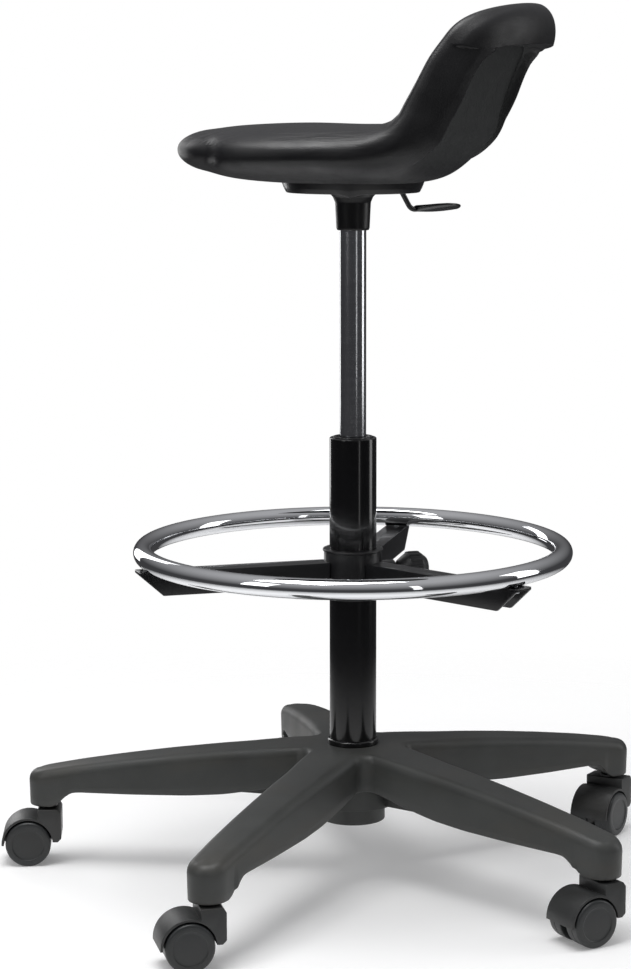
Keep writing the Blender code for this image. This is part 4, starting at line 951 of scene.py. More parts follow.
@dataclass
class Base:
    """The five-arm base, moulded in one: rounded arms that flow into the hub, ribbed and hollow underneath."""

    axis: Vector
    arm_turn: float = 62.4
    arms: int = 5
    reach: float = 0.3365
    collar: float = 0.0273
    crotch_fillet: float = 0.013
    tip_radius: float = 0.0205
    tip_bottom: float = 0.0653
    shoulder: float = 0.0085
    wall: float = 0.0035
    flare: float = 0.0018
    top: tuple[tuple[float, float], ...] = (
        (0.0, 0.1433), (0.04, 0.1433), (0.06, 0.1425), (0.10, 0.1395), (0.15, 0.1345), (0.20, 0.1285),
        (0.25, 0.1215), (0.30, 0.1135), (0.3365, 0.1065), (0.357, 0.1020))
    half_width: tuple[tuple[float, float], ...] = (
        (0.0, 0.0300), (0.06, 0.0295), (0.12, 0.0265), (0.20, 0.0245), (0.28, 0.0225), (0.3365, 0.0205))
    lip: tuple[tuple[float, float], ...] = (
        (0.0, 0.1060), (0.065, 0.1040), (0.10, 0.0950), (0.14, 0.0880), (0.18, 0.0850), (0.24, 0.0838),
        (0.306, 0.0838), (0.316, 0.0800), (0.322, 0.0653), (0.40, 0.0653))
    core: tuple[tuple[float, float], ...] = ((0.0, 0.0780), (0.06, 0.0785), (0.12, 0.0815), (0.18, 0.0850), (0.40, 0.0860))

    def _read(self, table: Sequence[tuple[float, float]], where: np.ndarray) -> np.ndarray:
        """Reads a table with its corners smoothed."""
        keys, values = np.array(table).T
        spread = np.array([-0.010, -0.005, 0.0, 0.005, 0.010])
        weights = np.array([0.12, 0.23, 0.30, 0.23, 0.12])
        return (np.interp(where[..., None] + spread, keys, values) * weights).sum(axis=-1)

    def _edges(self) -> tuple[np.ndarray, np.ndarray]:
        """The middle line and the outer edge of half an arm, as matching points with the arm along +X."""
        half = math.pi / self.arms
        vertex = self.half_width[1][1] / math.sin(half)
        centre = Vector((math.cos(half), math.sin(half))) * (vertex + self.crotch_fillet / math.sin(half))
        turns = np.linspace(math.pi + half, 1.5 * math.pi, 14)
        arc = np.stack([centre.x + self.crotch_fillet * np.cos(turns), centre.y + self.crotch_fillet * np.sin(turns)], 1)
        along = np.concatenate([np.linspace(centre.x, 0.295, 40)[1:], np.linspace(0.295, self.reach, 16)[1:]])
        side = np.stack([along, self._read(self.half_width, along)], 1)
        shift = centre.y - self.crotch_fillet - side[0, 1]
        side[:, 1] += shift * np.exp(-(along - centre.x) / 0.02)
        turns = np.linspace(math.pi / 2, 0, 16)[1:]
        round_end = np.stack([self.reach + self.tip_radius * np.cos(turns), self.tip_radius * np.sin(turns)], 1)
        outer = np.concatenate([arc, side, round_end])
        inner_turns = np.linspace(half, 0, 14)
        collar = np.stack([self.collar * np.cos(inner_turns), self.collar * np.sin(inner_turns)], 1)
        lead = np.clip((side[:, 0] - centre.x) / 0.06, 0, 1)
        inner_x = self.collar + (side[:, 0] - self.collar) * (lead * 0.6 + 0.4) - (1 - lead) * 0.4 * (centre.x - self.collar)
        inner_x = np.minimum(inner_x, self.reach - 0.004)
        middle = np.stack([inner_x, np.zeros_like(inner_x)], 1)
        end = np.repeat([[self.reach - 0.004, 0.0]], len(round_end), axis=0)
        return np.concatenate([collar, middle, end]), outer

    def half_arm(self) -> Shell:
        """One half of an arm with its share of the hub, open at the collar and where the halves meet."""
        inner, outer = self._edges()
        rows = []
        for start, stop in zip(inner, outer):
            way = stop - start
            length = float(np.hypot(*way))
            way = way / length
            radius = float(np.hypot(*stop))
            rim = np.array([min(radius, self.reach)])
            lip = float(self._read(self.lip, rim)[0])
            if radius > self.reach - 0.006:
                lip = self.tip_bottom
            core = max(float(self._read(self.core, rim)[0]), lip + 0.0006)
            tip = lip < 0.072
            bend = min(self.shoulder, length * 0.45)
            points: list[tuple[float, float]] = []
            for share in np.linspace(0, 1, 9):
                points.append((length - bend) * share and ((length - bend) * share, 0.0) or (0.0, 0.0))
            drop = bend * 1.15
            for turn in np.linspace(0, math.pi / 2, 9)[1:]:
                points.append((length - bend + bend * math.sin(turn), -drop * (1 - math.cos(turn))))
            plan = [start + way * d for d, _ in points]
            heights = [self._height(p, outer_half=max(abs(stop[1]), 0.012)) + fall for p, (_, fall) in zip(plan, points)]
            foot = heights[-1]
            flare = -0.0006 if tip else self.flare
            for share in (0.25, 0.5, 0.75, 1.0):
                plan.append(start + way * (length + flare * share))
                heights.append(foot + (lip + 0.0012 - foot) * share)
            for inset, rise in ((0.0004, 0.0004), (0.0012, 0.0)):
                plan.append(start + way * (length + flare - inset))
                heights.append(lip + rise)
            plan, heights = self._underside(plan, heights, start, way, length + flare, lip, core, tip)
            rows.append([(p[0], p[1], h) for p, h in zip(plan, heights)])
        rings = np.array(rows)
        many, count = rings.shape[:2]
        faces = [(i * count + k, i * count + k + 1, (i + 1) * count + k + 1, (i + 1) * count + k)
                 for i in range(many - 1) for k in range(count - 1)]
        return Shell(rings.reshape(-1, 3), faces)

    def _height(self, at: np.ndarray, outer_half: float) -> float:
        """The height of the crowned top at a place in plan."""
        radius = float(np.hypot(*at))
        level = float(self._read(self.top, np.array([radius]))[0])
        crown = 0.0016 * min(1.0, abs(float(at[1])) / outer_half) ** 2 * min(1.0, max(0.0, (radius - 0.06) / 0.05))
        return level - crown

    def _underside(self, plan: list[np.ndarray], heights: list[float], start: np.ndarray, way: np.ndarray, length: float,
                   lip: float, core: float, tip: bool) -> tuple[list[np.ndarray], list[float]]:
        """Carries a row on under the arm: over its lip, up into a groove, round the inner wall and along the roof.

        Args:
            plan: The row's points in plan so far.
            heights: Their heights.
            start: The row's inner end.
            way: The way from there to the edge.
            length: How far the edge is.
            lip: The height of the outer wall's foot.
            core: The height of the inner wall's foot.
            tip: The row crosses the solid end of the arm.

        Returns:
            The longer lists.
        """
        roof = self._height(start + way * length * 0.5, 0.02) - 0.006
        steps = ((self.wall - 0.0008, lip), (self.wall, lip + 0.0008), (self.wall + 0.0003, min(lip + 0.012, roof)),
                 (self.wall + 0.0022, min(lip + 0.012, roof)), (self.wall + 0.0026, core + 0.0004),
                 (self.wall + 0.0036, core), (self.wall + 0.0052, core), (self.wall + 0.0060, core + 0.001),
                 (self.wall + 0.0066, roof - 0.002), (self.wall + 0.0090, roof))
        for inset, level in steps:
            plan.append(start + way * max(length - inset, 0.0))
            heights.append(lip if tip else level)
        inner = max(length - self.wall - 0.0090, 0.0)
        for share in (0.66, 0.33, 0.0):
            plan.append(start + way * inner * share)
            heights.append(lip if tip else roof)
        return plan, heights

    def make(self) -> None:
        """Makes the base with its hub sleeve, its ribs and its gloss collar."""
        half = self.half_arm()
        mirrored = Shell(half.points * np.array([1, -1, 1]), half.faces)
        shells = []
        for index in range(self.arms):
            turn = Matrix.Rotation(math.radians(self.arm_turn) + 2 * math.pi * index / self.arms, 4, "Z")
            shells += [half.moved(turn), mirrored.moved(turn)]
        body = shells[0].joined(*shells[1:])
        rim = len(body.points)
        piece = body.moved(Matrix.Translation(self.axis)).piece("five_arm_base", 50.0)
        self._close(piece)
        fitted(piece, Finishes.nylon, Slot.NYLON, "base", "base")
        log.info("base shell from %d points", rim)
        self._details()

    def _close(self, piece: bpy.types.Object) -> None:
        """Joins the top's rim to the roof's rim round the bore, so that the shell is closed."""
        bm = bmesh.new()
        bm.from_mesh(piece.data)
        bmesh.ops.remove_doubles(bm, verts=bm.verts, dist=2e-5)
        loose = [edge for edge in bm.edges if edge.is_boundary]
        bmesh.ops.bridge_loops(bm, edges=loose)
        bmesh.ops.recalc_face_normals(bm, faces=bm.faces)
        bm.to_mesh(piece.data)
        bm.free()
        piece.data.shade_smooth()
        piece.data.set_sharp_from_angle(angle=math.radians(50))

    def _details(self) -> None:
        """Makes the hub's sleeve and collar, and the ribs under the arms."""
        place = Matrix.Translation(self.axis)
        sleeve = turned(filleted([(0.0256, 0.060, 0.0006), (0.0345, 0.060, 0.001), (0.0345, 0.1385, 0),
                                  (0.0256, 0.1385, 0)]), 96)
        rings = turned(filleted([(0.0455, 0.0790, 0.0006), (0.0475, 0.0790, 0.0006), (0.0475, 0.1385, 0),
                                 (0.0455, 0.1385, 0)]), 96)
        fitted(sleeve.joined(rings).moved(place).piece("hub_sleeve"), Finishes.nylon, Slot.NYLON, "base")
        rib = Shell(np.array([(x, y, z) for x, ends in ((0.0, (0.0810, 0.1385)), (0.10, (0.0850, 0.1310)),
                                                        (0.20, (0.0860, 0.1190)), (0.268, (0.0860, 0.1100)))
                              for y, z in ((-0.0011, ends[0]), (0.0011, ends[0]), (0.0014, ends[1]), (-0.0014, ends[1]))]),
                    [])
        rib.faces = grid(rib.points.reshape(4, 4, 3)).faces
        copies = RoundOf(Finishes.nylon)
        ribs = copies.piece("arm_ribs", rib, self.arms, 0.0470, math.radians(self.arm_turn), place)
        fitted(ribs, Finishes.nylon, Slot.NYLON, "base")
        spoke = Shell(np.array([(x, y, z) for x in (0.0, 0.0125) for y, z in
                                ((-0.0011, 0.080), (0.0011, 0.080), (0.0011, 0.1385), (-0.0011, 0.1385))]), [])
        spoke.faces = grid(spoke.points.reshape(2, 4, 3)).faces
        fitted(copies.piece("hub_spokes", spoke, 15, 0.0340, math.radians(self.arm_turn), place),
               Finishes.nylon, Slot.NYLON, "base")
        collar = turned(filleted([(0.0253, 0.1436, 0), (0.02725, 0.1436, 0.0004), (0.02725, 0.1480, 0.0012),
                                  (0.0253, 0.1496, 0.0004)]), 96)
        fitted(collar.moved(place).piece("hub_collar"), Finishes.lacquer, Slot.LACQUER, "base", "base_hub_ring")


# ---------------------------------------------------------------- casters


@dataclass
class Caster:
    """One twin-wheel caster: a fender with its neck, and two wheels that stand a little proud of it."""

    number: int
    stem: Vector
    turn: float
    trail: float = 0.022
    axle_height: float = 0.024692
    wheel_radius: float = 0.0247
    wheel_gap: float = 0.0052
    wheel_width: float = 0.0195
    hood_radius: float = 0.0290
    half_width: float = 0.0225
    hood_top: float = 0.0625
    well: float = 0.0266
    web: float = 0.0042

    def _place(self) -> Matrix:
        """Where the caster stands, with +X the way it trails."""
        return Matrix.Translation(self.stem) @ Matrix.Rotation(math.radians(self.turn), 4, "Z")

    def _outline(self) -> Profile:
        """The fender's side view, anticlockwise: the arc over the wheels, then the neck in front."""
        low = self.axle_height - 0.0015
        turns = np.linspace(math.asin(-0.0015 / self.hood_radius), math.radians(112), 40)
        arc = [(self.trail + self.hood_radius * math.cos(t), self.axle_height + self.hood_radius * math.sin(t))
               for t in turns]
        neck = filleted([arc[-1] + (0.0,), (0.0112, self.hood_top - 0.0060, 0.004), (0.0112, self.hood_top, 0.0012),
                         (-0.0105, self.hood_top, 0.0016), (-0.0140, self.hood_top - 0.0045, 0.004),
                         (-0.0140, 0.030, 0.002), (-0.0100, 0.0262, 0.002), (-0.0035, 0.0262, 0.0016),
                         (-0.0015, low, 0.0012), (0.0, low, 0.0)], 6, closed=False)
        return arc + neck[1:]

    def make(self) -> None:
        """Makes the fender, its axle boss, and both wheels."""
        name, place = f"caster_{self.number}", self._place()
        hood = extruded(self._outline(), -self.half_width, self.half_width, 0.0006).piece(f"{name}_fender")
        lay = Matrix.Rotation(-math.pi / 2, 4, "X")
        at_axle = Matrix.Translation((self.trail, 0, self.axle_height))
        for side in (-1, 1):
            flip = Matrix.Rotation(0 if side > 0 else math.pi, 4, "X")
            well = turned([(0, self.web), (self.well, self.web), (self.well, 0.030), (0, 0.030)], 72)
            cut(hood, well.moved(at_axle @ flip @ lay))
        front = [(x, y, z) for x in (-0.0117, -0.0060) for y, z in ((self.web, 0.020), (0.0190, 0.020),
                                                                   (0.0190, 0.047), (self.web, 0.047))]
        for side in (-1, 1):
            pocket = Shell(np.array(front) * np.array([1, side, 1]), grid(np.array(front).reshape(2, 4, 3)).faces)
            cut(hood, pocket)
        boss = turned([(0, -self.web - 0.0002), (0.0075, -self.web - 0.0002), (0.0075, self.web + 0.0002),
                       (0, self.web + 0.0002)], 40)
        cut(hood, boss.moved(at_axle @ lay), "UNION")
        eased(hood, 0.00045)
        hood.data.transform(place)
        fitted(hood, Finishes.caster, Slot.CASTER, name, f"{name}_hood")
        for side, flip in (("left", 0.0), ("right", math.pi)):
            wheel = self._wheel().moved(place @ at_axle @ Matrix.Rotation(flip, 4, "Z") @ lay)
            fitted(wheel.piece(f"{name}_{side}_tread", 30.0), Finishes.wheel, Slot.WHEEL, f"{name}_{side}",
                   f"{name}_wheel_{side}")
        collar = turned(filleted([(0.0, 0.0623, 0), (0.0098, 0.0623, 0.0004), (0.0098, 0.0647, 0.0006), (0.0, 0.0652, 0)],
                                 closed=False), 40)
        fitted(collar.moved(Matrix.Translation(self.stem)).piece(f"{name}_collar"), Finishes.black_plastic,
               Slot.BLACK_PLASTIC, "base")

    def _wheel(self) -> Shell:
        """A wheel about Z, from its inner face up: a tread with two fine grooves, and a dished outer face."""
        low, high, radius = self.wheel_gap, self.wheel_gap + self.wheel_width, self.wheel_radius
        corners = [(0.0, low + 0.004, 0), (0.0165, low + 0.004, 0.0005), (0.0185, low, 0.0008),
                   (radius, low, 0.0012), (radius, high - 0.0105, 0.0001), (radius - 0.0004, high - 0.0102, 0.0001),
                   (radius - 0.0004, high - 0.0096, 0.0001), (radius, high - 0.0093, 0.0001),
                   (radius, high, 0.0034), (0.0178, high + 0.0001, 0.0010), (0.0168, high - 0.0008, 0.0012),
                   (0.0150, high - 0.0009, 0.0004), (0.0, high - 0.0003, 0)]
        return turned(filleted(corners, 6, closed=False), 88)


# ---------------------------------------------------------------- column and lift


@dataclass
class Lift:
    """The gloss column, the gas cylinder that stands in it, and the tapered socket under the seat."""

    axis: Vector
    column_radius: float = 0.025
    column_bottom: float = 0.062
    column_top: float = 0.4755
    cylinder_radius: float = 0.014
    socket_bottom: float = 0.6945
    socket_top: float = 0.7382

    def make(self) -> None:
        """Makes the column, its bush, the cylinder and the socket."""
        place = Matrix.Translation(self.axis)
        radius, top, inner = self.column_radius, self.column_top, self.column_radius - 0.002
        tube = turned(filleted([
            (0.0056, self.column_bottom, 0), (radius - 0.0015, self.column_bottom, 0.0004), (radius, 0.135, 0.01),
            (radius, top, 0.0021), (inner - 0.0012, top, 0.0006), (inner - 0.0012, top - 0.004, 0),
            (inner, top - 0.004, 0), (inner, 0.135, 0), (inner - 0.0015, 0.066, 0), (0.0056, 0.066, 0)], 7), 128)
        fitted(tube.moved(place).piece("outer_column"), Finishes.lacquer, Slot.LACQUER, "base", "column_tube")
        bore = self.cylinder_radius + 0.0003
        bush = turned(filleted([
            (bore, top - 0.11, 0), (inner - 0.0003, top - 0.11, 0), (inner - 0.0003, top - 0.0043, 0),
            (inner - 0.0015, top - 0.0043, 0), (inner - 0.0015, top + 0.0010, 0.0006), (0.0178, top + 0.0012, 0.0010),
            (0.0172, top - 0.0004, 0.0006), (bore + 0.0012, top - 0.0002, 0.0006), (bore, top - 0.0012, 0.0004)], 5), 96)
        fitted(bush.moved(place).piece("guide_bush"), Finishes.black_plastic, Slot.BLACK_PLASTIC, "base",
               "column_guide_bush")
        low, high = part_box("gas_cylinder")
        wall = self.cylinder_radius - 0.0022
        cylinder = turned(filleted([
            (wall, low.z, 0), (self.cylinder_radius, low.z, 0.0008), (self.cylinder_radius, self.socket_bottom, 0),
            (self.cylinder_radius - 0.0007, high.z, 0.0008), (0.0043, high.z, 0.0003), (0.0043, 0.7045, 0),
            (0.0, 0.7045, 0), (0.0, 0.700, 0), (wall, 0.700, 0)], 5), 128)
        fitted(cylinder.moved(place).piece("gas_cylinder_skin"), Finishes.ground, Slot.GROUND, "seat", "gas_cylinder")
        socket = turned(filleted([
            (self.cylinder_radius + 0.0003, self.socket_bottom, 0), (0.0166, self.socket_bottom, 0.0009),
            (0.0175, self.socket_bottom + 0.0022, 0.0010), (0.0188, self.socket_bottom + 0.0290, 0.006),
            (0.0212, self.socket_top - 0.0090, 0.004), (0.0262, self.socket_top - 0.0040, 0.0020),
            (0.0262, self.socket_top, 0.0002), (self.cylinder_radius + 0.0003, self.socket_top, 0)], 8), 128)
        fitted(socket.moved(place).piece("taper_socket"), Finishes.socket, Slot.BLACK_STEEL, "seat", "seat_socket")


# ---------------------------------------------------------------- pan and lever


@dataclass
class Pan:
    """The pressed pan under the seat, with a pinched gusset at each side, its bolts, and the release lever."""

    axis: Vector
    underside: float = 0.7385
    top: float = 0.7500
    rim_drop: float = 0.0045
    bottom_radius: float = 0.0695
    top_radius: float = 0.0768
    sheet: float = 0.0022
    lever_turn: float = 142.0
    pivot_at: float = 0.050
    lever_height: float = 0.7460
    rod_radius: float = 0.00275
    steps: int = 240

    def _profile(self) -> Profile:
        """The pan's section, from its inner edge out under the floor and up over the wall."""
        rim = self.underside - self.rim_drop
        return filleted([
            (0.0172, self.underside, 0.0003), (self.bottom_radius - 0.0085, self.underside, 0.004),
            (self.bottom_radius - 0.0035, rim, 0.0022), (self.bottom_radius + 0.0004, rim, 0.0016),
            (self.bottom_radius + 0.0030, rim + 0.0050, 0.0050), (self.top_radius, self.top, 0.0005),
            (self.top_radius - self.sheet, self.top, 0.0005), (self.bottom_radius - 0.0005, self.underside + 0.0020, 0.003),
            (0.0172, self.underside + 0.0020, 0.0003)], 7)

    def make(self) -> None:
        """Makes the pan, its bolts and the lever."""
        place = Matrix.Translation(self.axis)
        shell = turned(self._profile(), self.steps)
        points = shell.points
        radius, turn = np.hypot(points[:, 0], points[:, 1]), np.arctan2(points[:, 1], points[:, 0])
        for middle in (math.radians(12.0), math.radians(192.0)):
            away = np.abs((turn - middle + math.pi) % (2 * math.pi) - math.pi)
            pinch = np.clip(1 - away / 0.20, 0, 1) ** 1.3
            low = smooth_step((radius - 0.024) / 0.012) * smooth_step((0.0775 - radius) / 0.012)
            points[:, 2] -= 0.0042 * pinch * low * (points[:, 2] < self.underside + 0.003)
        pan = shell.moved(place).piece("pressed_pan", 45.0)
        slot = np.array([(x, y, z) for x in (self.pivot_at - 0.006, self.top_radius + 0.004) for y, z in
                         ((-0.00475, 0.728), (0.00475, 0.728), (0.00475, self.top - 0.0016), (-0.00475, self.top - 0.0016))])
        way = Matrix.Rotation(math.radians(self.lever_turn), 4, "Z")
        cut(pan, Shell(slot, grid(slot.reshape(2, 4, 3)).faces).moved(place @ way))
        fitted(pan, Finishes.black_steel, Slot.BLACK_STEEL, "seat", "seat_plate")
        head = turned(filleted([(0.0, self.underside - 0.0035, 0), (0.0049, self.underside - 0.0035, 0.0006),
                                (0.0049, self.underside - 0.0003, 0), (0.003, self.underside - 0.0003, 0),
                                (0.003, self.top, 0), (0.0, self.top, 0)], 4, closed=False), 6)
        bolts = RoundOf(Finishes.zinc).piece("pan_bolts", head, 4, 0.056, math.radians(self.lever_turn + 45), place)
        fitted(bolts, Finishes.zinc, Slot.ZINC, "seat", *(f"seat_bolt_{k}" for k in range(1, 5)))
        self._lever(place @ way @ Matrix.Translation((self.pivot_at, 0, self.lever_height)))

    def _lever(self, place: Matrix) -> None:
        """Makes the bent rod and its paddle, drawn from the pivot with +X along the lever."""
        corners = [Vector((-0.054, 0, 0)), Vector((0.006, 0, 0)), Vector((0.0275, 0, -0.0325)), Vector((0.0495, 0, -0.0313))]
        path = [corners[0]]
        for before, corner, after in zip(corners, corners[1:], corners[2:]):
            start, stop = (corner + (other - corner).normalized() * 0.0065 for other in (before, after))
            path += [start.lerp(corner, n / 11).lerp(corner.lerp(stop, n / 11), n / 11) for n in range(12)]
        path.append(corners[-1])
        bar = swept(path, self.rod_radius, 28)
        eye = turned([(0, -0.004), (0.0038, -0.004), (0.0038, 0.004), (0, 0.004)], 32).moved(
            Matrix.Rotation(math.pi / 2, 4, "X"))
        rod = bar.joined(eye).moved(place).piece("lever_bar", 50.0)
        fitted(rod, Finishes.black_plastic, Slot.BLACK_STEEL, "lever", "lever_rod")
        rows = np.linspace(0, 1, 44)
        shares = (1 - np.cos(rows * math.pi)) / 2
        keys = (0.0, 0.06, 0.20, 0.38, 0.58, 0.76, 0.90, 0.97, 1.0)
        fullness = np.interp(shares, keys, (0.30, 0.42, 0.66, 0.90, 1.0, 0.92, 0.66, 0.38, 0.02))
        smooth = np.array([(np.interp(s + d, shares, fullness)) for s in shares for d in (-0.03, 0, 0.03)]).reshape(-1, 3)
        fullness = np.where((rows > 0.1) & (rows < 0.85), smooth.mean(axis=1), fullness)
        turns = np.linspace(0, 2 * math.pi, 40, endpoint=False)
        rings = []
        for share, full in zip(shares, fullness):
            thick = 0.0031 * (1.1 - 0.5 * share) * min(1.0, full * 3)
            dish = -0.0012 * math.sin(math.pi * share) * np.cos(turns) ** 2 * (np.sin(turns) > 0)
            rings.append(np.stack([np.full(40, share * 0.060), 0.0145 * full * np.cos(turns),
                                   thick * np.sin(turns) - dish * 0.6], axis=1))
        aim = Matrix.Translation((0.0335, 0, -0.0313)) @ Matrix.Rotation(math.radians(-17), 4, "X")
        paddle = grid(np.array(rings)).moved(place @ aim).piece("lever_blade", 60.0)
        fitted(paddle, Finishes.paddle, Slot.BLACK_PLASTIC, "lever", "lever_paddle")


# ---------------------------------------------------------------- foot ring


@dataclass
class FootRing:
    """The chrome ring on three pressed arms, with its hub on the column and the clamp's knob."""

    axis: Vector
    radius: float = 0.2235
    tube: float = 0.0105
    height: float = 0.3541
    arm_turns: tuple[float, ...] = (182.0, 302.0, 62.0)
    hub_radius: float = 0.031
    hub_bottom: float = 0.306
    hub_height: float = 0.0475
    arm_width: float = 0.025
    arm_depth: float = 0.0253
    knob_turn: float = 122.0
    knob_height: float = 0.331

    def make(self) -> None:
        """Makes the ring, the hub with its arms, the liner, the screws and the knob."""
        place = Matrix.Translation(self.axis)
        turns = np.linspace(0, 2 * math.pi, 256, endpoint=False)
        tube = np.linspace(0, 2 * math.pi, 40, endpoint=False)
        out = self.radius + self.tube * np.cos(tube)
        rings = np.stack([out * np.cos(turns)[:, None], out * np.sin(turns)[:, None],
                          np.broadcast_to(self.height + self.tube * np.sin(tube), (256, 40))], axis=-1)
        ring = grid(rings, looped=True).moved(place).piece("chrome_ring", 80.0)
        fitted(ring, Finishes.chrome, Slot.CHROME, "ring", "footring")
        self._hub(place)
        low, high = self.hub_bottom - 0.0028, self.hub_bottom + self.hub_height + 0.0003
        liner = turned(filleted([
            (0.0253, low, 0.0003), (0.0298, low, 0.0006), (0.0298, low + 0.0024, 0), (0.0275, low + 0.0024, 0),
            (0.0275, high, 0), (0.0323, high, 0.0003), (0.0323, high + 0.0024, 0.0012), (0.0253, high + 0.0026, 0.0004)]), 96)
        fitted(liner.moved(place).piece("slide_liner"), Finishes.black_plastic, Slot.BLACK_PLASTIC, "ring_slide",
               "footring_liner")
        head = self.height - self.tube - 0.0006 - 0.003
        screw = turned(filleted([(0.0, head - 0.0035, 0), (0.0050, head - 0.0032, 0.0008), (0.0052, head, 0.0003),
                                 (0.0030, head, 0), (0.0030, head + 0.012, 0), (0.0, head + 0.012, 0)], closed=False), 28)
        screws = RoundOf(Finishes.zinc).piece("ring_screws", screw, 3, self.radius, math.radians(self.arm_turns[0]), place)
        fitted(screws, Finishes.zinc, Slot.ZINC, "ring", *(f"footring_screw_{k}" for k in (1, 2, 3)))
        self._knob(place @ Matrix.Rotation(math.radians(self.knob_turn), 4, "Z")
                   @ Matrix.Translation((0, 0, self.knob_height)))

    def _hub(self, place: Matrix) -> None:
        """Makes the hub and its three arms, each a channel with a slanted end."""
        top, arm_top = self.hub_bottom + self.hub_height, self.height - self.tube - 0.0003
        low = arm_top - self.arm_depth
        hub = turned(filleted([(0.0278, self.hub_bottom, 0.0003), (self.hub_radius, self.hub_bottom, 0.0008),
                               (self.hub_radius, top, 0.0008), (0.0278, top, 0.0003)], 4), 96).piece("ring_hub")
        outline = filleted([(self.hub_radius - 0.0015, low, 0), (0.210, low, 0.003), (0.235, arm_top - 0.003, 0.001),
                            (0.235, arm_top, 0.0008), (self.hub_radius - 0.0015, arm_top, 0)], 4)
        half = self.arm_width / 2
        for turn in self.arm_turns:
            way = Matrix.Rotation(math.radians(turn), 4, "Z")
            cut(hub, extruded(outline, -half, half, 0.0005).moved(way), "UNION")
            hollow = np.array([(x, y, z) for x in (self.hub_radius + 0.003, 0.245) for y, z in (
                (-half + 0.003, low - 0.01), (half - 0.003, low - 0.01), (half - 0.003, arm_top - 0.003),
                (-half + 0.003, arm_top - 0.003))])
            cut(hub, Shell(hollow, grid(hollow.reshape(2, 4, 3)).faces).moved(way))
        aim = Matrix.Rotation(math.radians(self.knob_turn), 4, "Z") @ Matrix.Translation((0, 0, self.knob_height))
        boss = turned([(0.0043, 0.0290), (0.010, 0.0290), (0.010, 0.0452), (0.0092, 0.046), (0.0043, 0.046)], 48)
        cut(hub, boss.moved(aim @ Matrix.Rotation(math.pi / 2, 4, "Y")), "UNION")
        eased(hub, 0.0005)
        hub.data.transform(place)
        fitted(hub, Finishes.black_steel, Slot.BLACK_STEEL, "ring", "footring_hub")

    def _knob(self, place: Matrix) -> None:
        """Makes the knob with its grip flutes, drawn about Z and laid along +X."""
        lay = place @ Matrix.Rotation(math.pi / 2, 4, "Y")
        knob = turned(filleted([(0.0043, 0.050, 0.0003), (0.0090, 0.050, 0.0008), (0.0145, 0.057, 0.003), (0.0170, 0.061, 0.002),
                                (0.0170, 0.0745, 0.004), (0.0105, 0.0826, 0.005), (0.0, 0.0834, 0)], 6, closed=False)
                      + [(0.0, 0.062), (0.0043, 0.062)], 72)
        fitted(knob.moved(lay).piece("clamp_grip"), Finishes.black_plastic, Slot.BLACK_PLASTIC, "clamp_knob",
               "clamp_knob")
        flute = turned([(0.0, 0.0605), (0.0012, 0.0608), (0.0017, 0.0625), (0.0017, 0.0715), (0.0012, 0.0738), (0.0, 0.0745)],
                       12)
        flutes = RoundOf(Finishes.black_plastic).piece("grip_flutes", flute, 14, 0.0166, 0.0, lay)
        fitted(flutes, Finishes.black_plastic, Slot.BLACK_PLASTIC, "clamp_knob")


# ---------------------------------------------------------------- studio


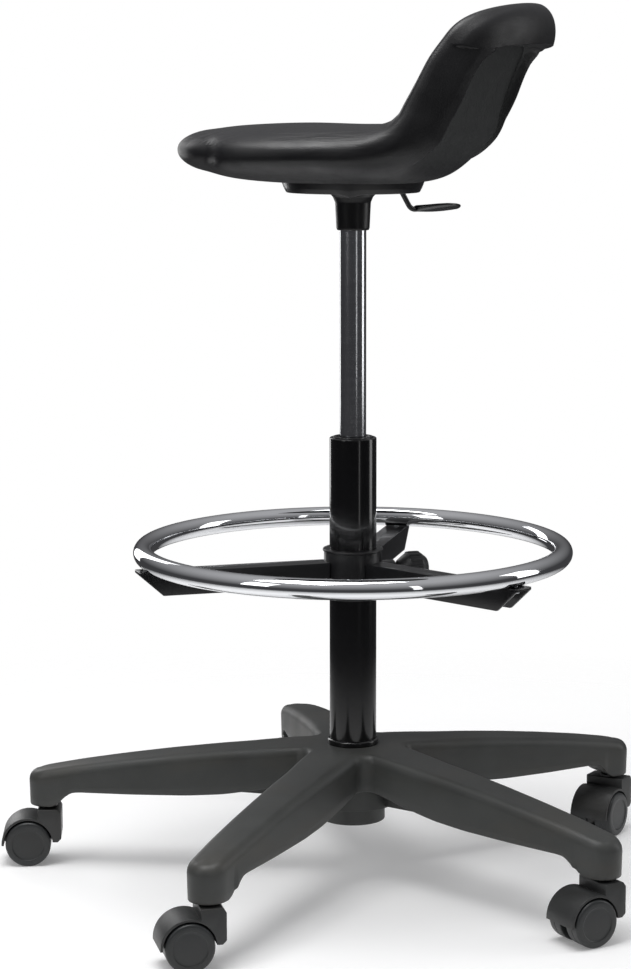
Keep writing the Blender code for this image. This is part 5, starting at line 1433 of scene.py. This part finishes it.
@dataclass
class Studio:
    """A pale floor, soft light, and the camera."""

    axis: Vector
    distance: float = 2.728
    height: float = 0.8413
    bearing: float = 15.0
    pitch: float = 8.3616
    lens: float = 96.38

    def camera(self) -> None:
        """Sets the camera, looking at the chair from its side and a little from behind."""
        data = bpy.data.cameras.new("camera")
        data.lens, data.sensor_width, data.sensor_fit = self.lens, 36.0, "AUTO"
        data.shift_x, data.shift_y = -0.0387, -0.0152
        data.clip_end = 60.0
        obj = bpy.data.objects.new("camera", data)
        bearing, pitch = math.radians(self.bearing), math.radians(self.pitch)
        obj.location = self.axis + Vector((self.distance * math.cos(bearing), self.distance * math.sin(bearing), self.height))
        way = Vector((-math.cos(bearing) * math.cos(pitch), -math.sin(bearing) * math.cos(pitch), -math.sin(pitch)))
        obj.rotation_euler = way.to_track_quat("-Z", "Y").to_euler()
        bpy.context.scene.collection.objects.link(obj)
        bpy.context.scene.camera = obj

    def floor(self) -> None:
        """Lays the pale floor, which fades out into the pale surround."""
        far = 1.6
        mesh = bpy.data.meshes.new("studio_floor")
        corners = [(-far, -far, 0), (far, -far, 0), (far, far, 0), (-far, far, 0)]
        mesh.from_pydata([tuple(self.axis + Vector(corner)) for corner in corners], [], [(0, 1, 2, 3)])
        floor = bpy.data.objects.new("studio_floor", mesh)
        bpy.context.scene.collection.objects.link(floor)
        bench = Bench("studio floor")
        bench.feed("Base Color", bench.shade(bench.noise(1.5), (0.86, 0.86, 0.86), (0.90, 0.90, 0.90)))
        bench.shader.inputs["Roughness"].default_value = 0.9
        bench.shader.inputs["Specular IOR Level"].default_value = 0.1
        bench.shader.inputs["Emission Color"].default_value = (1.0, 1.0, 1.0, 1.0)
        bench.shader.inputs["Emission Strength"].default_value = 0.16
        away = bench.put("ShaderNodeVectorMath", {0: bench.place, 1: tuple(self.axis)}, operation="DISTANCE")
        bench.feed("Alpha", bench.spread(away.outputs["Value"], 1.0, 0.0, 0.42, 1.15))
        mesh.materials.append(bench.material)

    def _panel(self, name: str, place: tuple[float, float, float], aim: tuple[float, float, float],
               size: tuple[float, float], power: float) -> None:
        """Hangs one soft light.

        Args:
            name: Its name.
            place: Where it hangs, from the column's foot.
            aim: What it points at.
            size: Its width and height.
            power: Its power in watts.
        """
        data = bpy.data.lights.new(name, "AREA")
        data.shape, data.size, data.size_y, data.energy = "RECTANGLE", size[0], size[1], power
        obj = bpy.data.objects.new(name, data)
        obj.location = self.axis + Vector(place)
        obj.rotation_euler = (Vector(aim) - Vector(place)).to_track_quat("-Z", "Y").to_euler()
        bpy.context.scene.collection.objects.link(obj)

    def lights(self) -> None:
        """Hangs the lights and sets the pale surround."""
        self._panel("overhead", (0.5, -0.3, 2.9), (0, 0, 0.3), (1.5, 2.0), 60.0)
        self._panel("key_side", (2.3, -1.6, 1.6), (0, 0, 0.5), (0.8, 1.6), 9.0)
        self._panel("strip_near", (1.9, 2.0, 0.9), (0, 0, 0.5), (0.22, 1.8), 1.7)
        self._panel("rim_left", (-1.9, -2.0, 1.0), (0, 0, 0.5), (0.8, 2.0), 12.0)
        self._panel("rim_right", (-1.0, 2.4, 1.0), (0, 0, 0.5), (0.8, 2.0), 12.0)
        world = bpy.data.worlds.new("surround")
        world.use_nodes = True
        nodes, links = world.node_tree.nodes, world.node_tree.links
        back = nodes["Background"]
        place, split = nodes.new("ShaderNodeTexCoord"), nodes.new("ShaderNodeSeparateXYZ")
        ramp = nodes.new("ShaderNodeValToRGB")
        links.new(place.outputs["Generated"], split.inputs[0])
        links.new(split.outputs["Z"], ramp.inputs["Fac"])
        ramp.color_ramp.elements[0].position, ramp.color_ramp.elements[0].color = 0.0, (0.05, 0.05, 0.053, 1)
        ramp.color_ramp.elements[1].position, ramp.color_ramp.elements[1].color = 0.85, (0.42, 0.42, 0.43, 1)
        path, mix = nodes.new("ShaderNodeLightPath"), nodes.new("ShaderNodeMix")
        mix.data_type = "RGBA"
        links.new(path.outputs["Is Camera Ray"], mix.inputs["Factor"])
        links.new(ramp.outputs["Color"], mix.inputs[6])
        mix.inputs[7].default_value = (1.0, 1.0, 1.0, 1.0)
        links.new(mix.outputs[2], back.inputs["Color"])
        back.inputs["Strength"].default_value = 1.0
        bpy.context.scene.world = world
        bpy.context.scene.view_settings.view_transform = "Standard"


def dress_hidden(frame: dict) -> None:
    """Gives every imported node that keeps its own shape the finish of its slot."""
    slots = {entry["node"]: entry["material_slot"] for entry in frame["record"]["subparts"]}
    for name, node in frame["nodes"].items():
        finish = Finishes.by_slot[Slot(slots[name])]
        node.data.materials.clear()
        node.data.materials.append(finish.material())


def main() -> None:
    """Builds the chair, the studio and the camera."""
    logging.basicConfig(level=logging.INFO, format="%(message)s")
    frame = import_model()
    low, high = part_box("gas_cylinder")
    axis = Vector(((low.x + high.x) / 2, (low.y + high.y) / 2, 0.0))
    studio = Studio(axis)
    studio.camera()
    studio.floor()
    studio.lights()
    dress_hidden(frame)
    Seat(axis).make()
    Base(axis).make()
    Lift(axis).make()
    Pan(axis).make()
    FootRing(axis).make()
    for number, turn in enumerate((316.0, 343.0, 20.0, 289.0, 299.0), 1):
        low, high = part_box(f"caster_{number}_stem")
        Caster(number, Vector(((low.x + high.x) / 2, (low.y + high.y) / 2, 0.0)), turn).make()


if __name__ == "__main__":
    main()
